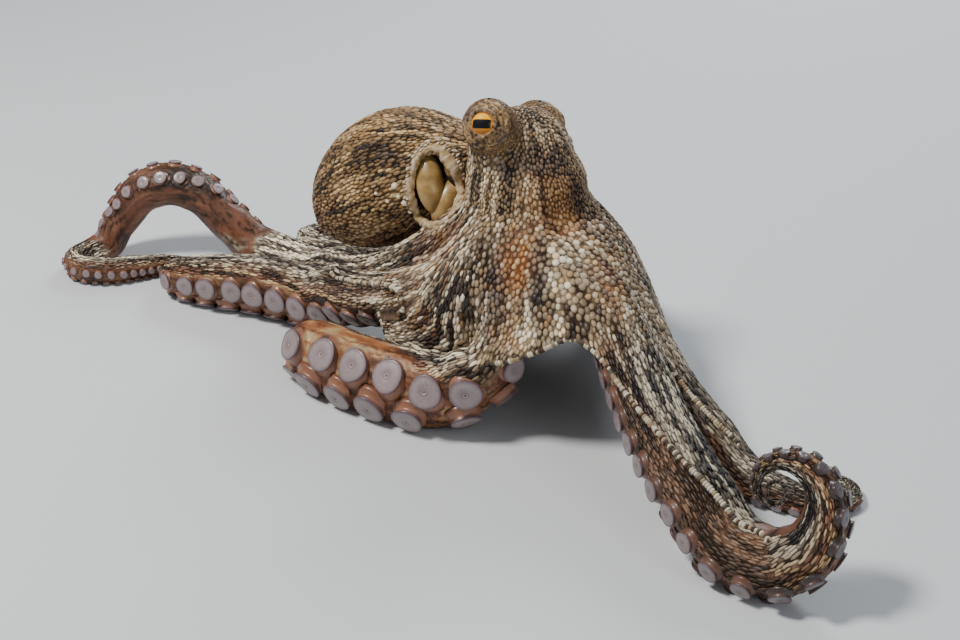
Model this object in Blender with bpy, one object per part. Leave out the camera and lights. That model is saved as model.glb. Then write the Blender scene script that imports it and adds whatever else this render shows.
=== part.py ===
"""A life-size common octopus (Octopus vulgaris), standing high on its arms like a tent, as a still model.

The body is a head with two raised eyes, a bag-like mantle hanging behind it, and a crown of eight arms
joined by a web.  Every piece is one closed solid, and neighbours keep a hair-thin gap (GAP).  Metres, +Z up,
floor at Z = 0.  Arms are named as a zoologist counts them: r1..r4 down the animal's right side, l1..l4
down its left.
"""
import math

import bmesh
import bpy
import numpy as np
from mathutils import Matrix

# ---------------------------------------------------------------- driving sizes
GAP = 0.00034                                 # clearance between neighbouring pieces
CROWN = np.array((0.034, 0.066, 0.122))       # centre of the ring that the arms spring from
CROWN_RADIUS = 0.037
ROOT_HALF = 0.0125                            # half the width of an arm at that ring
EYE_RADIUS = 0.0112
MOUND_RADIUS = 0.0182
MOUND_RIGHT = np.array((0.0062, 0.0500, 0.1935))
MOUND_LEFT = np.array((0.0385, 0.0875, 0.1790))
EYE_OUT = 0.0082                              # from a mound's centre out to its eye's centre
LOOK_RIGHT = np.array((-0.29, -0.87, 0.40))   # the right eye's look; the left eye's is mirrored
MANTLE_NECK = np.array((0.0040, 0.1060, 0.1535))
MANTLE_APEX = np.array((-0.1180, 0.2000, 0.0640))
MANTLE_RADIUS = 0.0480
MANTLE_ARCH = 0.010                           # how far its middle line rises above a straight one
WEB_THICKNESS = 0.0036
WEB_RIDE = 0.62                               # how far round an arm's back its web is rooted
ARM_SIDES = 8
FACET_DEPTH = 0.95                            # how near an arm's flat facet comes to its round outline
ORAL_FLATNESS = 0.80                          # depth of the suckers' side over that of the back
SETTLE = (0.0040, 0.0170)                     # clearances below which an arm lies down, and above which it is free
SLIVER = 0.00001                              # edges shorter than this, left by a cut, are closed up
PRESS = 0.0009                                # how far a lying arm is pressed flat by the floor
SUCKER_HEIGHT = 0.0040
SUCKER_SHARE = dict(arm_r1=0.34, arm_r2=0.385, arm_r3=0.34)   # a sucker's radius over the arm's half width
SUCKER_PITCH = 1.28                           # step from one sucker to the next, over their radius
STUDS_FROM = dict(arm_r1=0.085, arm_r2=0.085, arm_r3=0.095)
SUCKER_ROW = 0.47                             # each row's place across the arm, over the half width
SMALLEST_STUD = 0.0060                        # suckers under this radius are left to the skin
POCKET = np.array((-0.0310, 0.1005, 0.1283))  # the mantle's opening, on the side that shows
POCKET_RADII = (0.0175, 0.0270, 0.0150)       # across, up, and into the mantle
POCKET_LIFT = math.radians(27)                # how far the pocket's face looks up

SKIN = dict(colour=(0.42, 0.31, 0.21, 1.0), roughness=0.55)
WEB_SKIN = dict(colour=(0.50, 0.40, 0.29, 1.0), roughness=0.55)
ARM_SKIN = dict(colour=(0.44, 0.26, 0.16, 1.0), roughness=0.45)
EYE_GOLD = dict(colour=(0.78, 0.45, 0.05, 1.0), roughness=0.12)
COLLAR_FLESH = dict(colour=(0.62, 0.47, 0.22, 1.0), roughness=0.35)


# ---------------------------------------------------------------- small vector helpers
def unit(v):
    v = np.asarray(v, float)
    return v / np.maximum(np.linalg.norm(v, axis=-1, keepdims=True), 1e-12)


def smoothstep(x):
    x = np.clip(x, 0.0, 1.0)
    return x * x * (3.0 - 2.0 * x)


def through(points, per_span=24):
    """A dense smooth curve through the points (centripetal Catmull-Rom, spaced by the first three columns)."""
    p = np.asarray(points, float)
    p = np.vstack([2 * p[0] - p[1], p, 2 * p[-1] - p[-2]])
    knots = np.concatenate([[0], np.cumsum(np.linalg.norm(np.diff(p[:, :3], axis=0), axis=1) ** 0.5)])
    rows = []
    for i in range(1, len(p) - 2):
        t0, t1, t2, t3 = knots[i - 1:i + 3]
        t = np.linspace(t1, t2, per_span, endpoint=False)[:, None]
        a1 = (t1 - t) / (t1 - t0) * p[i - 1] + (t - t0) / (t1 - t0) * p[i]
        a2 = (t2 - t) / (t2 - t1) * p[i] + (t - t1) / (t2 - t1) * p[i + 1]
        a3 = (t3 - t) / (t3 - t2) * p[i + 1] + (t - t2) / (t3 - t2) * p[i + 2]
        b1 = (t2 - t) / (t2 - t0) * a1 + (t - t0) / (t2 - t0) * a2
        b2 = (t3 - t) / (t3 - t1) * a2 + (t - t1) / (t3 - t1) * a3
        rows.append((t2 - t) / (t2 - t1) * b1 + (t - t1) / (t2 - t1) * b2)
    return np.vstack(rows + [p[-2][None]])


# ---------------------------------------------------------------- the arms' routes
def at(x, y, z, oral, side, depth):
    """One place on an arm: its centre, the way its suckers face, half its width and half its depth, in mm."""
    return np.concatenate([np.array((x, y, z)) / 1000, unit(oral), (side / 1000, depth / 1000)])


def root(angle_deg):
    """The place on the crown's ring where an arm begins, suckers facing the mouth and the floor."""
    a = math.radians(angle_deg)
    outward = np.array((math.cos(a), math.sin(a), 0.0))
    return np.concatenate([CROWN + CROWN_RADIUS * outward, unit(-0.5 * outward + (0, 0, -1.0)),
                           (ROOT_HALF, ROOT_HALF)])


def coil(centre, radius, thickness, turns, lean_deg, yaw_deg, advance):
    """A coiled arm end on its edge, from its lowest place round to its middle; suckers face outwards.

    Radius and thickness are millimetres at the start, and each shrinks by a fixed share every quarter turn.
    """
    lean, yaw = math.radians(lean_deg), math.radians(yaw_deg)
    across = np.array((math.cos(yaw), -math.sin(yaw), 0.0))
    level = np.array((-math.sin(yaw), -math.cos(yaw), 0.0))
    upward = -math.sin(lean) * level + (0, 0, math.cos(lean))
    toward = math.cos(lean) * level + (0, 0, math.sin(lean))
    steps = int(round(turns * 12))
    rows = []
    for i in range(1, steps + 1):
        quarter = 4.0 * turns * i / steps
        r = (0.10 + 0.90 * 0.55 ** quarter) * (1.0 - 0.030 * quarter) * radius
        depth = 1.0 + (thickness - 1.0) * 0.47 ** quarter
        side = 1.0 + (0.80 * thickness - 1.0) * 0.62 ** quarter
        angle = -math.pi / 2 + quarter * math.pi / 2
        outward = math.cos(angle) * across + math.sin(angle) * upward
        point = np.asarray(centre, float) + r * outward + toward * advance * i / steps
        rows.append(at(*point, outward + 0.12 * toward, side, depth))
    return rows


def arm_routes():
    """Each arm's places from the crown to its tip."""
    return {
        "arm_r1": [
            root(-62), at(79, -7, 98, (-0.55, 0.1, -0.85), 16, 18),
            at(95, -60, 72, (-0.7, -0.2, -0.7), 19, 22),
            at(110, -110, 51, (-0.8, -0.3, -0.6), 21, 24), at(127, -155, 36, (-0.7, -0.45, -0.6), 21, 25),
            at(151, -190, 25, (-0.4, -0.6, -0.75), 19, 24.5), *coil((168, -190, 65), 50, 27, 2.1, 20, 22, 10)],
        "arm_l1": [
            root(-18), at(86, 23, 101, (-0.6, -0.3, -0.8), 15, 16),
            at(105, -14, 74, (-0.6, -0.4, -0.8), 16, 17),
            at(129, -53, 45, (-0.5, -0.5, -0.7), 17, 17), at(157, -85, 24, (-0.2, -0.6, -0.8), 16, 16),
            at(185, -108, 14, (0.1, -0.6, -0.8), 12.5, 12.5), at(212, -118, 10, (0.3, -0.5, -0.8), 10, 9),
            at(231, -111, 7, (0.5, -0.2, -0.8), 7.5, 7), at(235, -93, 5, (0.4, 0.3, -0.8), 5.5, 5),
            at(224, -80, 4, (0.1, 0.4, -0.8), 4, 3.6), at(209, -83, 3, (-0.4, 0.2, -0.8), 2.8, 2.6),
            at(205, -94, 2, (-0.4, -0.2, -0.8), 1.6, 1.5)],
        "arm_l2": [
            root(27), at(80, 102, 92, (-0.4, -0.2, -0.9), 15, 15), at(96, 130, 52, (-0.3, -0.2, -1), 17, 16),
            at(106, 168, 22, (0, -0.2, -1), 17, 15), at(108, 197, 16, (0.1, -0.2, -1), 14.5, 13.5),
            at(95, 221, 12, (0.1, 0.1, -1), 11.5, 10.5), at(75, 222, 9, (0.2, 0.2, -1), 8.5, 8),
            at(70, 204, 6.5, (0.3, -0.1, -1), 6.2, 6), at(82, 193, 4.5, (0.1, -0.3, -1), 4.4, 4),
            at(93, 200, 3, (-0.2, -0.1, -1), 2.8, 2.4), at(90, 210, 2, (-0.2, 0.1, -1), 1.6, 1.5)],
        "arm_l3": [
            root(72), at(56, 138, 88, (-0.1, -0.4, -0.9), 15, 15), at(53, 174, 48, (-0.1, -0.4, -1), 17, 16),
            at(34, 230, 18, (0.1, -0.2, -1), 17, 15), at(8, 274, 15, (0.1, -0.1, -1), 15, 13),
            at(-32, 290, 12, (0.1, 0.2, -1), 12, 11), at(-60, 272, 8, (0.4, 0.3, -0.9), 9, 8),
            at(-50, 248, 6, (0.3, -0.4, -0.9), 6, 5.5), at(-30, 250, 4, (-0.2, -0.4, -0.9), 4, 3.4),
            at(-25, 262, 2, (-0.5, 0.2, -0.9), 2, 1.7)],
        "arm_l4": [
            root(117), at(10, 134, 84, (0.1, -0.4, -0.9), 15, 15), at(-6, 168, 44, (0.2, -0.4, -1), 17, 16),
            at(-38, 214, 18, (0.1, -0.2, -1), 17, 15), at(-88, 238, 15, (0, -0.1, -1), 15, 13),
            at(-128, 262, 12, (0.1, 0, -1), 12, 11), at(-146, 294, 9, (0.5, 0.2, -0.8), 9, 8),
            at(-124, 312, 6, (0.3, -0.6, -0.8), 6, 5.5), at(-108, 298, 4, (-0.5, -0.5, -0.8), 4, 3.4),
            at(-116, 286, 2, (-0.5, 0.3, -0.8), 2, 1.7)],
        "arm_r4": [
            root(162), at(-38, 86, 86, (0.4, -0.1, -0.9), 15, 15), at(-78, 122, 50, (0.3, 0, -1), 18, 16),
            at(-122, 190, 26, (0.2, 0.5, -0.9), 18, 16), at(-170, 241, 21, (0.4, 0.8, -0.5), 18, 17),
            at(-202, 256, 34, (0.85, 0.45, -0.1), 19, 17.5), at(-225, 266, 55, (0.75, -0.1, 0.6), 19, 18.5),
            at(-252, 270, 63, (0, -0.35, 1), 19, 19), at(-277, 270, 55, (-0.7, -0.35, 0.6), 18.5, 18.5),
            at(-291, 269, 38, (-0.95, -0.3, 0.1), 17, 17),
            at(-303, 262, 22, (-0.9, -0.1, -0.2), 14.5, 14.5),
            at(-318, 250, 13, (-0.8, 0.3, -0.5), 12, 12), at(-327, 234, 12, (-1, -0.2, -0.4), 11.5, 11.5),
            at(-319, 218, 12, (-0.5, -0.85, -0.35), 11.5, 11.5), at(-297, 214, 12, (0, -0.9, -0.45), 11.5, 12),
            at(-276, 222, 11, (0, -0.85, -0.5), 10.5, 11), at(-256, 232, 9, (0.2, -0.8, -0.5), 9, 9),
            at(-240, 241, 6.5, (0.3, -0.7, -0.5), 6.2, 6), at(-227, 246, 3, (0.3, -0.7, -0.5), 3, 2.8)],
        "arm_r3": [
            root(207), at(-26, 46, 86, (0.4, -0.3, -0.9), 16, 16), at(-66, 78, 53, (0.3, -0.7, -0.7), 20, 19),
            at(-112, 130, 32, (0.1, -0.86, -0.45), 25, 23), at(-164, 162, 28, (0, -0.86, -0.45), 25, 23),
            at(-204, 176, 25, (-0.2, -0.86, -0.45), 22, 21), at(-234, 192, 20, (-0.8, -0.4, -0.5), 17, 17),
            at(-240, 210, 14, (-0.6, 0.4, -0.7), 12, 11), at(-224, 218, 9, (0, 0.6, -0.8), 8, 7.5),
            at(-206, 212, 6, (0.1, 0.6, -0.8), 5.2, 5), at(-188, 207, 4, (0, 0.6, -0.8), 3.2, 3),
            at(-175, 204, 2, (0, 0.6, -0.8), 1.6, 1.5)],
        "arm_r2": [
            root(252), at(16, 6, 93, (0.3, 0.2, -0.9), 17, 16), at(15, -7, 64, (0.4, -0.2, -0.9), 21, 18),
            at(4, -16, 43, (0.3, -0.7, -0.55), 25, 21), at(-36, -9, 32, (0.1, -0.98, 0.02), 27, 24),
            at(-84, 20, 31, (-0.3, -0.95, 0.08), 27, 24), at(-116, 50, 30, (-0.7, -0.65, -0.02), 25, 23),
            at(-123, 72, 20, (-0.9, 0.2, -0.4), 17, 17), at(-107, 86, 12, (-0.2, 0.5, -0.8), 12, 11.5),
            at(-84, 78, 9, (0.1, 0.5, -0.8), 9, 8.5), at(-62, 64, 7, (0, 0.5, -0.8), 6.4, 6),
            at(-40, 56, 5, (0, 0.5, -0.8), 4.4, 4.2), at(-22, 62, 3, (-0.3, 0.4, -0.8), 2.8, 2.6),
            at(-18, 75, 2, (-0.5, 0.2, -0.8), 1.6, 1.5)],
    }


AROUND = ["arm_r1", "arm_r2", "arm_r3", "arm_r4", "arm_l4", "arm_l3", "arm_l2", "arm_l1"]
LENGTHS = dict(arm_r1=5, arm_r2=5, arm_r3=4, arm_r4=6, arm_l4=4, arm_l3=4, arm_l2=4, arm_l1=4)
LENGTH_NAMES = ["root", "upper", "middle", "lower", "end", "tip"]
# Each web joins two arms: (arm, its reach along it, next arm, its reach, recess of the margin, bulge)
WEBS = [
    ("web_r1_r2", "arm_r1", 0.255, "arm_r2", 0.108, 0.50, 0.010),
    ("web_r2_r3", "arm_r2", 0.165, "arm_r3", 0.110, 0.06, 0.012),
    ("web_r3_r4", "arm_r3", 0.170, "arm_r4", 0.190, 0.16, 0.004),
    ("web_r4_l4", "arm_r4", 0.140, "arm_l4", 0.140, 0.34, 0.006),
    ("web_l4_l3", "arm_l4", 0.140, "arm_l3", 0.140, 0.34, 0.008),
    ("web_l3_l2", "arm_l3", 0.140, "arm_l2", 0.140, 0.34, 0.008),
    ("web_l2_l1", "arm_l2", 0.150, "arm_l1", 0.170, 0.34, 0.008),
    ("web_l1_r1", "arm_l1", 0.205, "arm_r1", 0.235, 0.42, 0.004),
]


class Arm:
    """An arm's route with its frame at any distance from the crown."""

    def __init__(self, stations):
        self.rows = through(stations)
        self.measure()
        _, _, oral, side, half, depth = self.frame(self.along)
        low = FACET_DEPTH * np.hypot(half * side[:, 2], ORAL_FLATNESS * depth * oral[:, 2])
        clear = self.rows[:, 2] - low
        hold = smoothstep((clear - SETTLE[0]) / (SETTLE[1] - SETTLE[0]))
        self.rows[:, 2] = low + clear * hold - PRESS * (1 - hold)
        self.measure()

    def measure(self):
        step = np.linalg.norm(np.diff(self.rows[:, :3], axis=0), axis=1)
        self.along = np.concatenate([[0], np.cumsum(step)])
        self.length = float(self.along[-1])

    def frame(self, s):
        """Centre, tangent, oral and side directions, half width and half depth at the distances s."""
        s = np.atleast_1d(np.asarray(s, float))
        pick = lambda x: np.stack([np.interp(x, self.along, self.rows[:, k]) for k in range(8)], axis=1)
        row = pick(s)
        ahead, behind = pick(np.minimum(s + 0.002, self.length)), pick(np.maximum(s - 0.002, 0.0))
        tangent = unit(ahead[:, :3] - behind[:, :3])
        oral = row[:, 3:6] - (row[:, 3:6] * tangent).sum(1)[:, None] * tangent
        oral = unit(oral)
        return row[:, :3], tangent, oral, np.cross(tangent, oral), row[:, 6], row[:, 7]

    def bend(self, s):
        """How sharply the arm turns at the distances s, in radians per metre."""
        before, after = self.frame(s - 0.004)[1], self.frame(s + 0.004)[1]
        return np.linalg.norm(after - before, axis=1) / 0.008

    def joints(self, s, count):
        """Indices into s where the arm is divided into lengths: about evenly, but never in a sharp turn."""
        even = (np.linspace(0, 1, count + 1) ** 0.85 * (len(s) - 1)).round().astype(int)
        turn = self.bend(s) * self.frame(s)[4]
        for k in range(1, count):
            near = np.arange(max(even[k] - 2, even[k - 1] + 2), min(even[k] + 2, len(s) - 3) + 1)
            even[k] = near[np.argmin(turn[near])]
        return even

    def even_places(self, fine=0.0260, share=1.45, turn=0.56):
        """Distances along the arm for its rings: closer together where the arm is thin or curls."""
        s = np.linspace(0, self.length, 800)
        depth = self.frame(s)[5]
        bend = np.convolve(self.bend(s), np.ones(25) / 25, "same")
        gap = np.clip(np.minimum(share * depth, turn / np.maximum(bend, 1e-3)), 0.0022, fine)
        count = np.concatenate([[0], np.cumsum(np.diff(s) / ((gap[1:] + gap[:-1]) / 2))])
        return np.interp(np.linspace(0, count[-1], int(math.ceil(count[-1])) + 1), count, s)


def section(angle, side, depth):
    """The arm's outline across it: rounded on the back, flatter where the suckers sit."""
    flat = np.where(np.sin(angle) > 0, ORAL_FLATNESS, 1.00)
    return side * np.cos(angle), flat * depth * np.sin(angle)


# ---------------------------------------------------------------- meshes
def material(name, look):
    made = bpy.data.materials.new(name)
    made.use_nodes = True
    shader = made.node_tree.nodes["Principled BSDF"]
    shader.inputs["Base Color"].default_value = look["colour"]
    shader.inputs["Roughness"].default_value = look["roughness"]
    shader.inputs["Metallic"].default_value = 0.0
    return made


def new_object(name, verts, faces, look):
    """A mesh object with its faces turned outwards; look=None makes a helper for cutting."""
    mesh = bpy.data.meshes.new(name)
    mesh.from_pydata([tuple(v) for v in verts], [], [tuple(f) for f in faces])
    bm = bmesh.new()
    bm.from_mesh(mesh)
    bmesh.ops.recalc_face_normals(bm, faces=bm.faces)
    if bm.calc_volume(signed=True) < 0:
        bmesh.ops.reverse_faces(bm, faces=bm.faces)
    bm.to_mesh(mesh)
    bm.free()
    obj = bpy.data.objects.new(name, mesh)
    bpy.context.scene.collection.objects.link(obj)
    if look:
        obj.data.materials.append(material(name + "_skin", look))
    return obj


def rings_to_solid(name, rings, look, front, back):
    """Joins rings of points into a closed body; front and back are the middles of its ends.

    Its faces are triangles split one way, so that a grown copy keeps an even distance from the body.
    """
    count, sides = rings.shape[:2]
    verts = list(rings.reshape(-1, 3))
    faces = []
    for i in range(count - 1):
        for j in range(sides):
            k = (j + 1) % sides
            a, b, c, d = i * sides + j, i * sides + k, (i + 1) * sides + k, (i + 1) * sides + j
            faces += [(a, b, c), (a, c, d)]
    for point, first in ((front, 0), (back, (count - 1) * sides)):
        loop = [first + j for j in range(sides)]
        verts.append(point)
        faces += [(len(verts) - 1, a, b) for a, b in zip(loop, loop[1:] + loop[:1])]
    return new_object(name, verts, faces, look)


def arm_solid(name, arm, s, look, grow=0.0, sides=ARM_SIDES, rounded_end=False):
    """The length of arm over the distances s, grown outwards by `grow` all round."""
    s = np.asarray(s, float)
    centre, tangent, oral, side, half, depth = arm.frame(s)
    centre = centre.copy()
    centre[0] -= tangent[0] * grow
    centre[-1] += tangent[-1] * grow
    angle = (np.arange(sides) + 0.5) * 2 * math.pi / sides
    across, out = section(angle[None], half[:, None] + grow, depth[:, None] + grow * 1.25)
    rings = centre[:, None] + across[..., None] * side[:, None] + out[..., None] * oral[:, None]
    rings[..., 2] = np.maximum(rings[..., 2], -grow)
    ends = np.array([rings[0].mean(0), rings[-1].mean(0)])
    if rounded_end:
        ends[1] = centre[-1] + tangent[-1] * depth[-1]
        ends[1, 2] = max(ends[1, 2], 0.0)
    return rings_to_solid(name, rings, look, *ends)


def sucker_places(arm, share):
    """(distance, row, radius) of each sucker: two rows that alternate, small by the mouth and at the tip."""
    places, s, row = [], 0.030, 1
    while s < arm.length - 0.004:
        half = arm.frame(s)[4][0]
        radius = share * half * (0.55 + 0.45 * float(smoothstep(s / 0.11)))
        places.append((s, row, radius))
        s += SUCKER_PITCH * radius
        row = -row
    return places


def sucker_studs(name, arm, share, start, end, sides=6, grow=0.0):
    """The larger suckers between two distances as plain studs in one mesh, each widening to its rim."""
    verts, faces = [], []
    for s, row, radius in sucker_places(arm, share):
        centre, tangent, oral, side, half, depth = (x[0] for x in arm.frame(s))
        turn = math.acos(SUCKER_ROW)
        foot = centre + row * SUCKER_ROW * half * side + 0.80 * depth * math.sin(turn) * oral
        axis = unit(oral + 0.55 * row * side)
        top = foot + axis * SUCKER_HEIGHT
        crosses_a_joint = s - radius < start or s + radius > end
        if crosses_a_joint or radius < SMALLEST_STUD or top[2] < 0.6 * radius:
            continue
        u = unit(np.cross(axis, tangent))
        v = np.cross(axis, u)
        first = len(verts)
        for middle, size in ((foot - axis * 0.35 * radius, 0.80 * radius), (top + axis * grow, radius)):
            for k in range(sides):
                a = 2 * math.pi * k / sides
                point = middle + (size + 1.5 * grow) * (math.cos(a) * u + math.sin(a) * v)
                verts.append((point[0], point[1], max(point[2], 0.0)))
        low, high = list(range(first, first + sides)), list(range(first + sides, first + 2 * sides))
        faces += [tuple(low), tuple(high)]
        faces += [(low[k], low[(k + 1) % sides], high[(k + 1) % sides], high[k]) for k in range(sides)]
    return new_object(name, verts, faces, None) if verts else None


def web_grid(arms, web, rows=6, cols=6):
    """Points of a web: bulged spans between two arms' backs, down to a margin that is cut back mid-way."""
    name, first, reach_a, second, reach_b, recess, bulge = web
    t = np.linspace(0, 1, cols)
    margin = 1.0 - recess * np.sin(math.pi * t) ** 0.8
    out = []
    for v in np.linspace(0, 1, rows):
        ends = []
        for key, reach, hand in ((first, reach_a, -1), (second, reach_b, 1)):
            s = np.maximum(v * margin * reach, 0.0)
            centre, _, oral, side, half, depth = arms[key].frame(s)
            ends.append(centre + hand * side * (WEB_RIDE * half)[:, None] - oral * (WEB_RIDE * depth)[:, None])
        row = ends[0] * (1 - t)[:, None] + ends[1] * t[:, None]
        middle = row - (CROWN - (0, 0, 0.06))
        lift = bulge * np.sin(math.pi * t) * math.sin(math.pi * (0.15 + 0.70 * v))
        out.append(row + unit(middle) * lift[:, None])
    return np.array(out)


def sheet(name, grid, thickness, look):
    """A web of even thickness over a grid of points, closed at its four edges."""
    rows, cols = grid.shape[:2]
    normal = unit(np.cross(np.gradient(grid, axis=0), np.gradient(grid, axis=1)))
    sides = [grid + normal * thickness / 2, grid - normal * thickness / 2]
    verts = np.concatenate([side.reshape(-1, 3) for side in sides])
    verts[:, 2] = np.maximum(verts[:, 2], 0.0)
    n = rows * cols
    faces = []
    for i in range(rows - 1):
        for j in range(cols - 1):
            q = (i * cols + j, i * cols + j + 1, (i + 1) * cols + j + 1, (i + 1) * cols + j)
            faces.append(q)
            faces.append(tuple(n + x for x in reversed(q)))
    edge = [(0, j) for j in range(cols - 1)] + [(i, cols - 1) for i in range(rows - 1)]
    edge += [(rows - 1, j) for j in range(cols - 1, 0, -1)] + [(i, 0) for i in range(rows - 1, 0, -1)]
    loop = [i * cols + j for i, j in edge]
    for a, b in zip(loop, loop[1:] + loop[:1]):
        faces.append((b, a, n + a, n + b))
    return new_object(name, verts, faces, look)


def blob_reach(centre, blobs, rays, blend):
    """How far each ray from the centre runs before it leaves the last blob, softly joined."""
    total = np.zeros(len(rays))
    for middle, radii in blobs:
        radii = np.asarray(radii, float)
        m = (np.asarray(middle, float) - centre) / radii
        d = rays / radii
        dd, dm, mm = (d * d).sum(1), d @ m, m @ m
        inside = dm * dm - dd * (mm - 1.0)
        far = np.where(inside > 0, (dm + np.sqrt(np.maximum(inside, 0))) / dd, 0.0)
        total += np.exp(far / blend)
    return blend * np.log(total)


def blob_body(name, centre, blobs, look, rings=14, sides=20, blend=0.0060, grow=0.0):
    theta = np.linspace(0, math.pi, rings + 1)[1:-1]
    phi = np.linspace(0, 2 * math.pi, sides, endpoint=False)
    th, ph = np.meshgrid(theta, phi, indexing="ij")
    rays = np.stack([np.sin(th) * np.cos(ph), np.sin(th) * np.sin(ph), np.cos(th)], -1)
    poles = np.array(((0, 0, 1.0), (0, 0, -1.0)))
    reach = blob_reach(centre, blobs, rays.reshape(-1, 3), blend).reshape(len(theta), sides) + grow
    ends = centre + poles * (blob_reach(centre, blobs, poles, blend) + grow)[:, None]
    return rings_to_solid(name, centre + rays * reach[..., None], look, ends[0], ends[1])


# ---------------------------------------------------------------- cutting
def boolean(obj, other, operation="DIFFERENCE"):
    """Applies one Boolean to obj's mesh.

    EXACT empties some of these thin, closely cut sheets; MANIFOLD keeps them, and every mesh here is closed.
    """
    modifier = obj.modifiers.new(operation, "BOOLEAN")
    modifier.object = other
    modifier.operation = operation
    modifier.solver = "MANIFOLD"
    graph = bpy.context.evaluated_depsgraph_get()
    made = bpy.data.meshes.new_from_object(obj.evaluated_get(graph))
    obj.modifiers.clear()
    old = obj.data
    obj.data = made
    bpy.data.meshes.remove(old)


def boxes_meet(a, b):
    pa, pb = (np.array([v.co for v in o.data.vertices]) for o in (a, b))
    return bool((pa.min(0) < pb.max(0)).all() and (pb.min(0) < pa.max(0)).all())


def cut(obj, *others):
    for other in others:
        if boxes_meet(obj, other):
            boolean(obj, other)


def loose_bodies(bm):
    """Sets of points that hang together, the largest first."""
    left, bodies = set(bm.verts), []
    while left:
        stack, body = [left.pop()], set()
        while stack:
            v = stack.pop()
            body.add(v)
            for e in v.link_edges:
                w = e.other_vert(v)
                if w in left:
                    left.discard(w)
                    stack.append(w)
        bodies.append(body)
    def area(body):
        return sum(face.calc_area() for face in {face for v in body for face in v.link_faces})

    return sorted(bodies, key=area, reverse=True)


def welded(obj):
    bm = bmesh.new()
    bm.from_mesh(obj.data)
    bmesh.ops.dissolve_degenerate(bm, edges=bm.edges, dist=SLIVER)
    return bm


def keep_largest(obj):
    """Drops the crumbs that a cut leaves, so that the piece is one body."""
    bm = welded(obj)
    for body in loose_bodies(bm)[1:]:
        bmesh.ops.delete(bm, geom=list(body), context="VERTS")
    bm.to_mesh(obj.data)
    bm.free()


def discard(*objects):
    for obj in objects:
        bpy.data.objects.remove(obj)


# ---------------------------------------------------------------- head, mantle and eyes
HEAD_CENTRE = np.array((0.030, 0.068, 0.145))
HEAD_BLOBS = [
    ((0.027, 0.071, 0.168), (0.032, 0.032, 0.029)),
    ((0.032, 0.067, 0.145), (0.041, 0.041, 0.030)),
    (tuple(CROWN), (0.048, 0.048, 0.024)),
    ((0.0125, 0.0590, 0.1780), (0.0190, 0.0200, 0.0190)),
    ((0.0390, 0.0835, 0.1690), (0.0185, 0.0185, 0.0180)),
]


def eye_places():
    """Each eye's name, its mound's centre and its own centre; the two look out to opposite sides."""
    across = unit(MOUND_RIGHT - MOUND_LEFT)
    look = unit(LOOK_RIGHT)
    mirrored = look - 2 * float(look @ across) * across
    return [("eye_right", MOUND_RIGHT, MOUND_RIGHT + EYE_OUT * look),
            ("eye_left", MOUND_LEFT, MOUND_LEFT + EYE_OUT * mirrored)]


def ball(name, centre, radius, look):
    return blob_body(name, centre, [(centre, (radius,) * 3)], look, 7, 12)


def head_body(name, look, grow=0.0):
    """The head: a bulk that flares down to the crown, with a round mound for each eye."""
    head = blob_body(name, HEAD_CENTRE, HEAD_BLOBS, look, 9, 14, grow=grow)
    for _, mound, _ in eye_places():
        bump = ball("mound", mound, MOUND_RADIUS + grow, None)
        boolean(head, bump, "UNION")
        discard(bump)
    return head


def mantle_body(name, look, rings=11, sides=14, grow=0.0):
    """The mantle bag: circles along the line from the neck to the apex, widest a little behind its middle."""
    axis = MANTLE_APEX - MANTLE_NECK
    length = np.linalg.norm(axis)
    axis = axis / length
    across = unit(np.cross(axis, (0, 0, 1.0)))
    upward = np.cross(across, axis)
    share = (0.5 - 0.5 * np.cos(np.linspace(0, math.pi, rings + 1)))[1:-1]
    radius = MANTLE_RADIUS * np.sin(math.pi * share ** 1.17) ** 0.50 + grow
    angle = np.linspace(0, 2 * math.pi, sides, endpoint=False)
    arched = MANTLE_ARCH * np.sin(math.pi * share)[:, None] * np.array((0, 0, 1.0))
    middle = MANTLE_NECK + axis * (length * share)[:, None] + arched
    circle = np.cos(angle)[:, None] * across + np.sin(angle)[:, None] * upward
    rings_made = middle[:, None] + radius[:, None, None] * circle[None]
    return rings_to_solid(name, rings_made, look, MANTLE_NECK - axis * grow, MANTLE_APEX + axis * grow)


def ellipsoid(name, centre, radii, roll, look, rings=6, sides=10):
    """An egg shape with axes across, up and into a face that looks up by POCKET_LIFT, rolled in that face."""
    up = np.array((0, math.sin(POCKET_LIFT), math.cos(POCKET_LIFT)))
    into = np.array((0, math.cos(POCKET_LIFT), -math.sin(POCKET_LIFT)))
    right = np.array((1.0, 0, 0))
    turned_up = math.cos(roll) * up + math.sin(roll) * right
    turned_right = math.cos(roll) * right - math.sin(roll) * up
    theta = np.linspace(0, math.pi, rings + 1)[1:-1]
    phi = np.arange(sides) * 2 * math.pi / sides
    points = []
    for t in theta:
        across = np.cos(phi)[:, None] * turned_right * radii[0]
        inward = np.sin(phi)[:, None] * into * radii[2]
        points.append(centre + math.sin(t) * (across + inward) + math.cos(t) * turned_up * radii[1])
    ends = centre + turned_up * radii[1], centre - turned_up * radii[1]
    return rings_to_solid(name, np.array(points), look, *ends)


def clear():
    for obj in list(bpy.data.objects):
        bpy.data.objects.remove(obj)


def head_and_eyes():
    head = head_body("head", SKIN)
    for name, _, centre in eye_places():
        socket = ball("socket", centre, EYE_RADIUS + GAP, None)
        cut(head, socket)
        discard(socket)
        ball(name, centre, EYE_RADIUS, EYE_GOLD)


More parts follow.
